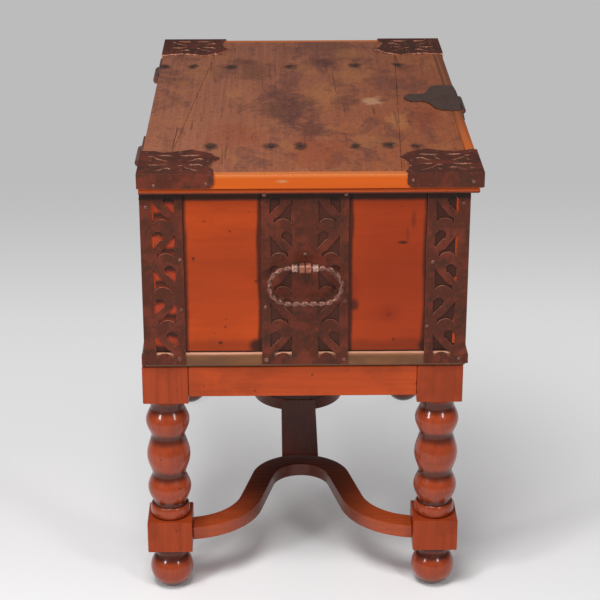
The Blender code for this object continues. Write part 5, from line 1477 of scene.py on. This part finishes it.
class CHEST_OT_handles(Operator):
    """Twists and bends the ring handles, with their collars, and forges the eyes that hold them."""

    bl_idname = "chest.handles"
    bl_label = "Ring Handles"

    width = 0.116
    height = 0.065
    axis = Vector((-0.3963, MIDDLE_Y, 0.561))
    collar_offset = 0.0155
    eye_radius = 0.0074
    eye_hole = 0.0049
    eye_thickness = 0.008
    eye_edge = 0.0008
    eye_offset = 0.0047
    flatness = 0.62

    def ring_points(self):
        radius = self.height / 2 - sizes().ring_rod
        straight = self.width / 2 - self.height / 2
        steps = 84
        bars = 44
        path = []
        for i in range(bars):
            path.append((-straight + 2 * straight * i / bars, 0.0))
        path += arc((straight, -radius), (radius, radius), (90.0, -90.0), steps)[:-1]
        for i in range(bars):
            path.append((straight - 2 * straight * i / bars, -2 * radius))
        path += arc((-straight, -radius), (radius, radius), (-90.0, -270.0), steps)[:-1]
        return path

    def ring(self):
        rod = sizes().ring_rod
        section = bpy.data.curves.new("rod section", "CURVE")
        section.dimensions = "2D"
        line = section.splines.new("POLY")
        outline = []
        for step in range(24):
            turn = math.tau * step / 24
            swell = 1.0 / math.hypot(math.cos(turn), math.sin(turn) / self.flatness)
            outline.append((rod * swell * math.cos(turn), rod * swell * math.sin(turn)))
        line.points.add(len(outline) - 1)
        for point, place in zip(line.points, outline):
            point.co = (*place, 0.0, 1.0)
        line.use_cyclic_u = True
        section_piece = bpy.data.objects.new("rod section", section)
        bpy.context.collection.objects.link(section_piece)
        path = self.ring_points()
        curve = bpy.data.curves.new("ring", "CURVE")
        curve.dimensions = "3D"
        curve.twist_mode = "Z_UP"
        curve.bevel_mode = "OBJECT"
        curve.bevel_object = section_piece
        spline = curve.splines.new("POLY")
        spline.points.add(len(path) - 1)
        total = sizes().ring_turns * QUARTER
        lengths = [0.0]
        for a, b in zip(path, path[1:] + path[:1]):
            lengths.append(lengths[-1] + math.dist(a, b))
        for point, (y, z), run in zip(spline.points, path, lengths):
            point.co = (y, z, 0.0, 1.0)
            point.tilt = total * run / lengths[-1]
        spline.use_cyclic_u = True
        piece = bpy.data.objects.new("ring", curve)
        bpy.context.collection.objects.link(piece)
        make_active(piece)
        bpy.ops.object.convert(target="MESH")
        piece = bpy.context.view_layer.objects.active
        bpy.data.objects.remove(section_piece, do_unlink=True)
        piece.data.materials.clear()
        piece.data.materials.append(finish_for("forged iron"))
        with editing(piece):
            bpy.ops.mesh.remove_doubles(threshold=WELD)
            bpy.ops.mesh.normals_make_consistent(inside=False)
        # drawn flat in XY, then stood up in the YZ plane
        set_down(piece, (QUARTER, 0.0, QUARTER))
        return piece

    def collar(self, place):
        half = [(0.0, 0.0047), (0.0050, 0.0047), (0.0058, 0.0040), (0.0062, 0.0026), (0.0055, 0.0012)]
        profile = half + [(0.0054, 0.0)] + [(radius, -height) for radius, height in reversed(half)]
        piece = turned("collar", profile, 20, finish_for("collar iron"))
        return set_down(piece, (QUARTER, 0.0, 0.0), (0.0, place * self.collar_offset, 0.0))

    def eye(self):
        """One forged eye, drawn in the XZ plane about the ring's axis: loop, shank and clinched end."""
        inner = CHEST_END - 0.018 - GAP
        back = -self.axis.x
        shank = 0.0025
        start = math.degrees(math.asin(shank / self.eye_radius))
        loop = arc((0.0, 0.0), (self.eye_radius, self.eye_radius), (180.0 - start, start - 180.0), 30)
        tip = inner - 0.003
        tail = [(inner - back, -shank), (inner - back, -0.012), (tip - back, -0.012), (tip - back, shank)]
        piece = sheet("eye", [tail + loop, circle((0.0, 0.0), self.eye_hole, 24)], [finish_for("eye iron")])
        thickened(piece, self.eye_thickness)
        edges_rounded(piece, self.eye_edge, 3, 0)
        set_down(piece, (QUARTER, 0.0, 0.0), (0.0, self.eye_thickness / 2, 0.0))
        return piece

    def execute(self, context):
        ring = gathered("ring handle", [self.ring(), self.collar(-1), self.collar(1)])
        smoothed(ring, math.radians(50.0))
        eye = self.eye()
        smoothed(eye)
        for side_name, side in SIDES.items():
            middle = Matrix.Translation((side * -self.axis.x, self.axis.y, self.axis.z))
            turn = Matrix.Rotation(0.0 if side < 0 else math.pi, 4, "Z")
            made = copy_of(ring, middle @ turn)
            handle = f"handle_{side_name}"
            fitted(made, f"twisted_{handle}", handle, [handle])
            for place_name, place in DEPTHS.items():
                flip = Matrix.Diagonal((side, 1.0, 1.0, 1.0))
                aside = Matrix.Translation((0.0, place * self.eye_offset, 0.0))
                made = copy_of(eye, middle @ aside @ flip)
                node = f"handle_eye_{side_name}_{place_name}"
                fitted(made, f"forged_{node}", "chest", [node])
        for template in (ring, eye):
            bpy.data.objects.remove(template, do_unlink=True)
        return {"FINISHED"}


# Hasp, lock and hinges


class CHEST_OT_hasp(Operator):
    """Makes the ringed boss of the hasp, and dresses the hasp's leaf, strap and pin, the lock and its bolt."""

    bl_idname = "chest.hasp"
    bl_label = "Hasp and Lock"

    boss_y = -0.2300
    boss_radii = (0.0135, 0.0052)
    boss_rod = 0.0022
    boss_flatness = 0.55
    boss_sink = 0.0004

    def execute(self, context):
        dressed(("lock_plate", "lock_case"), "sheet iron")
        dressed(("hasp_strap", "hasp_leaf"), "hasp iron")
        place = (0.0, self.boss_y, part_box("lid_iron_front_left")[1].z - self.boss_sink)
        rings = []
        for radius in self.boss_radii:
            ring = new_piece(
                bpy.ops.mesh.primitive_torus_add,
                major_segments=40,
                minor_segments=10,
                major_radius=radius,
                minor_radius=self.boss_rod,
                location=place,
            )
            ring.data.materials.append(finish_for("hasp iron"))
            ring.scale = (1.0, 1.0, self.boss_flatness)
            set_down(ring, place=ring.location)
            bpy.ops.object.shade_smooth()
            rings.append(ring)
        fitted(gathered("hasp boss", rings), "hasp_boss", "lid")
        dressed(("hasp_pin", "lock_bolt"), "forged iron")
        return {"FINISHED"}


class CHEST_OT_hinges(Operator):
    """Dresses the strap hinges on the back."""

    bl_idname = "chest.hinges"
    bl_label = "Strap Hinges"

    def execute(self, context):
        for side in SIDES:
            dressed((f"hinge_strap_{side}", f"hinge_leaf_{side}", f"hinge_pin_{side}"), "forged iron")
        return {"FINISHED"}


class CHEST_OT_nails(Operator):
    """Drives the nails of the irons and the lid."""

    bl_idname = "chest.nails"
    bl_label = "Nails"

    # nails of the ends, as (place across the face, height) seen from outside
    end_nails = (
        (-0.1848, 0.4893), (-0.1851, 0.5693), (-0.1891, 0.4108), (0.1898, 0.5637), (0.1836, 0.4607),
        (-0.2330, 0.6525), (0.2330, 0.6565), (-0.0600, 0.6705), (0.0600, 0.6705), (0.0, 0.5765),
        (-0.0590, 0.4925), (0.0590, 0.5025), (-0.0580, 0.4085), (0.0590, 0.4085), (0.2330, 0.4085),
    )
    # nails of the corner irons on the long faces, as (distance in from the corner, height)
    long_nails = ((0.056, 0.4893), (0.0565, 0.5693), (0.057, 0.6465), (0.0085, 0.6615), (0.056, 0.4085))
    # nails of the lid irons' flanges on the ends, as (y, height), and on the long edges, as x
    flange_nails = ((0.2267, 0.6911), (0.151, 0.6937), (-0.1489, 0.6974), (-0.2366, 0.6946))
    edge_nails = (-0.378, -0.298)
    edge_height = 0.6950
    # nails on top of the lid irons, as distances in from the end and from the long edge
    top_nails = ((0.008, 0.104), (0.103, 0.008), (0.058, 0.100), (0.100, 0.058))
    top_sink = 0.0008
    batten_head = 0.0040
    batten_dome = 0.0009

    def stand_off(self, height):
        """How far out a nail's seat on an upright iron lies from the boards."""
        return GAP + sizes().iron_sheet + (IRON_STEP_OUT if height < IRON_STEP_Z else 0.0)

    def execute(self, context):
        sheet_top = GAP + sizes().iron_sheet
        places = []
        for across, height in self.end_nails:
            for side in SIDES.values():
                x = side * (CHEST_END + self.stand_off(height))
                places.append((Vector((x, MIDDLE_Y + side * across, height)), Vector((side, 0.0, 0.0))))
        for depth in DEPTHS.values():
            for side in SIDES.values():
                for inward, height in self.long_nails:
                    y = MIDDLE_Y + depth * (BACK_Y - MIDDLE_Y + self.stand_off(height))
                    point = Vector((side * (CHEST_END - inward), y, height))
                    places.append((point, Vector((0.0, depth, 0.0))))
        head = domed_head(sizes().nail_head, sizes().nail_dome, finish_for("nail iron"))
        fitted(spread_heads(head, places, "chest_nails"), "chest_nails", "chest")
        places = []
        up = Vector((0.0, 0.0, 1.0))
        for side in SIDES.values():
            for y, z in self.flange_nails:
                places.append((Vector((side * (LID_HIGH.x + sheet_top), y, z)), Vector((side, 0.0, 0.0))))
            for x in self.edge_nails:
                for depth in DEPTHS.values():
                    y = depth * (LID_HIGH.y + sheet_top)
                    places.append((Vector((-side * x, y, self.edge_height)), Vector((0.0, depth, 0.0))))
            for depth in DEPTHS.values():
                for in_x, in_y in self.top_nails:
                    x, y = side * (LID_HIGH.x - in_x), depth * (LID_HIGH.y - in_y)
                    places.append((Vector((x, y, LID_HIGH.z + sheet_top - self.top_sink)), up))
        head = domed_head(sizes().nail_head, sizes().nail_dome, finish_for("nail iron"))
        fitted(spread_heads(head, places, "lid_nails", 9), "lid_nails", "lid")
        places = [(Vector((x, y, LID_HIGH.z)), up) for x, y in LID_NAILS]
        head = domed_head(self.batten_head, self.batten_dome, finish_for("dark nail"))
        fitted(spread_heads(head, places, "batten_nails", 11), "batten_nails", "lid")
        return {"FINISHED"}


# Stage


class CHEST_OT_stage(Operator):
    """Sets the pale floor, the soft lamps and the camera at the height of a standing viewer."""

    bl_idname = "chest.stage"
    bl_label = "Stage"

    camera_place = Vector((-2.89273, 0.05352, 1.52596))
    camera_yaw = math.radians(-0.8777)
    camera_pitch = math.radians(22.129)
    camera_roll = math.radians(-0.0324)
    camera_lens = 108.903
    floor_reach = 14.0
    # beside the left end the lamps light the floor, and along the chest the floor glows for camera, glossy and
    # transmission rays with a painted light of its own, which darkens with the distance
    near_tone = tone(242, 242, 243)
    far_tone = tone(188, 188, 189)
    fade_reach = (-0.4, 1.8)
    plain_reach = (-0.45, 0.85)
    lamp_aim = Vector((0.0, 0.0, 0.35))
    lamps = (
        ("overhead softbox", (-1.35, 0.4, 2.7), (1.0, 0.9), 44.0),
        ("left softbox", (-1.35, 1.15, 0.95), (0.26, 0.34), 8.0),
        ("right softbox", (-1.45, -0.85, 0.95), (0.26, 0.34), 5.5),
    )

    def floor(self):
        floor = new_piece(bpy.ops.mesh.primitive_plane_add, size=2 * self.floor_reach)
        floor.name = "floor"
        recipe = Recipe("pale floor", {"Specular IOR Level": 0.0, "Emission Strength": 1.0})
        x = recipe.part("X")
        paleness = recipe.mix(recipe.fade(x, *self.fade_reach), self.near_tone, self.far_tone)
        far = recipe.fade(x, *self.plain_reach)
        kinds = ("Camera", "Glossy", "Transmission")
        rays = [recipe.node("ShaderNodeLightPath", output=f"Is {kind} Ray") for kind in kinds]
        seen = recipe.fade(rays[0] + rays[1] + rays[2], 0.0, 1.0)
        glow = recipe.mix(far * seen, (0.0, 0.0, 0.0), paleness)
        recipe.feed(recipe.shader.inputs["Emission Color"], glow)
        recipe.colour = recipe.mix(far, tuple(colours().floor), (0.0, 0.0, 0.0))
        floor.data.materials.append(recipe.done(0.9))

    def lamp(self, name, place, size, power):
        lamp = new_piece(bpy.ops.object.light_add, type="AREA", location=place)
        lamp.name = name
        lamp.data.shape = "RECTANGLE"
        lamp.data.size, lamp.data.size_y = size
        lamp.data.energy = power
        aim = self.lamp_aim - Vector(place)
        lamp.rotation_euler = aim.to_track_quat("-Z", "Y").to_euler()
        return lamp

    def execute(self, context):
        self.floor()
        for lamp in self.lamps:
            self.lamp(*lamp)
        world = bpy.data.worlds.new("studio")
        context.scene.world = world
        world.use_nodes = True
        background = world.node_tree.nodes["Background"]
        background.inputs["Color"].default_value = (0.99, 0.99, 1.0, 1.0)
        background.inputs["Strength"].default_value = 0.2
        self.camera(context)
        context.scene.view_settings.view_transform = "Standard"
        return {"FINISHED"}

    def camera(self, context):
        yaw, pitch = self.camera_yaw, self.camera_pitch
        level = math.cos(pitch)
        forward = Vector((math.cos(yaw) * level, math.sin(yaw) * level, -math.sin(pitch)))
        right = Vector((math.sin(yaw), -math.cos(yaw), 0.0))
        up = right.cross(forward)
        turn = Matrix((right, up, -forward)).transposed().to_4x4()
        turn = turn @ Matrix.Rotation(self.camera_roll, 4, "Z")
        data = bpy.data.cameras.new("camera")
        data.sensor_width = 36.0
        data.lens = self.camera_lens
        data.clip_end = 60.0
        camera = bpy.data.objects.new("camera", data)
        context.scene.collection.objects.link(camera)
        camera.matrix_world = Matrix.Translation(self.camera_place) @ turn
        context.scene.camera = camera


PIECE_OPERATORS = (
    CHEST_OT_stage,
    CHEST_OT_legs,
    CHEST_OT_rails,
    CHEST_OT_stretchers,
    CHEST_OT_boards,
    CHEST_OT_lid_boards,
    CHEST_OT_mouldings,
    CHEST_OT_corner_irons,
    CHEST_OT_end_plates,
    CHEST_OT_lid_irons,
    CHEST_OT_handles,
    CHEST_OT_hasp,
    CHEST_OT_hinges,
    CHEST_OT_nails,
)


class CHEST_PT_sidebar(Panel):
    """Lists the chest's pieces, with the sizes and colours that they are made to."""

    bl_idname = "CHEST_PT_sidebar"
    bl_label = "Chest on Stand"
    bl_space_type = "VIEW_3D"
    bl_region_type = "UI"
    bl_category = "Chest"

    def draw(self, context):
        for group in (context.scene.chest_sizes, context.scene.chest_colours):
            box = self.layout.box()
            for key in group.__annotations__:
                box.prop(group, key)
        for operator in PIECE_OPERATORS:
            self.layout.operator(operator.bl_idname)


CLASSES = (ChestSizes, ChestColours, *PIECE_OPERATORS, CHEST_PT_sidebar)


def register():
    for item in CLASSES:
        bpy.utils.register_class(item)
    bpy.types.Scene.chest_sizes = PointerProperty(type=ChestSizes)
    bpy.types.Scene.chest_colours = PointerProperty(type=ChestColours)


def unregister():
    del bpy.types.Scene.chest_colours
    del bpy.types.Scene.chest_sizes
    for item in reversed(CLASSES):
        bpy.utils.unregister_class(item)


def plain(box):
    return [[round(float(value), 6) for value in corner] for corner in box]


def main():
    register()
    for operator in PIECE_OPERATORS:
        group, name = operator.bl_idname.split(".")
        getattr(getattr(bpy.ops, group), name)()


if __name__ == "__main__":
    main()
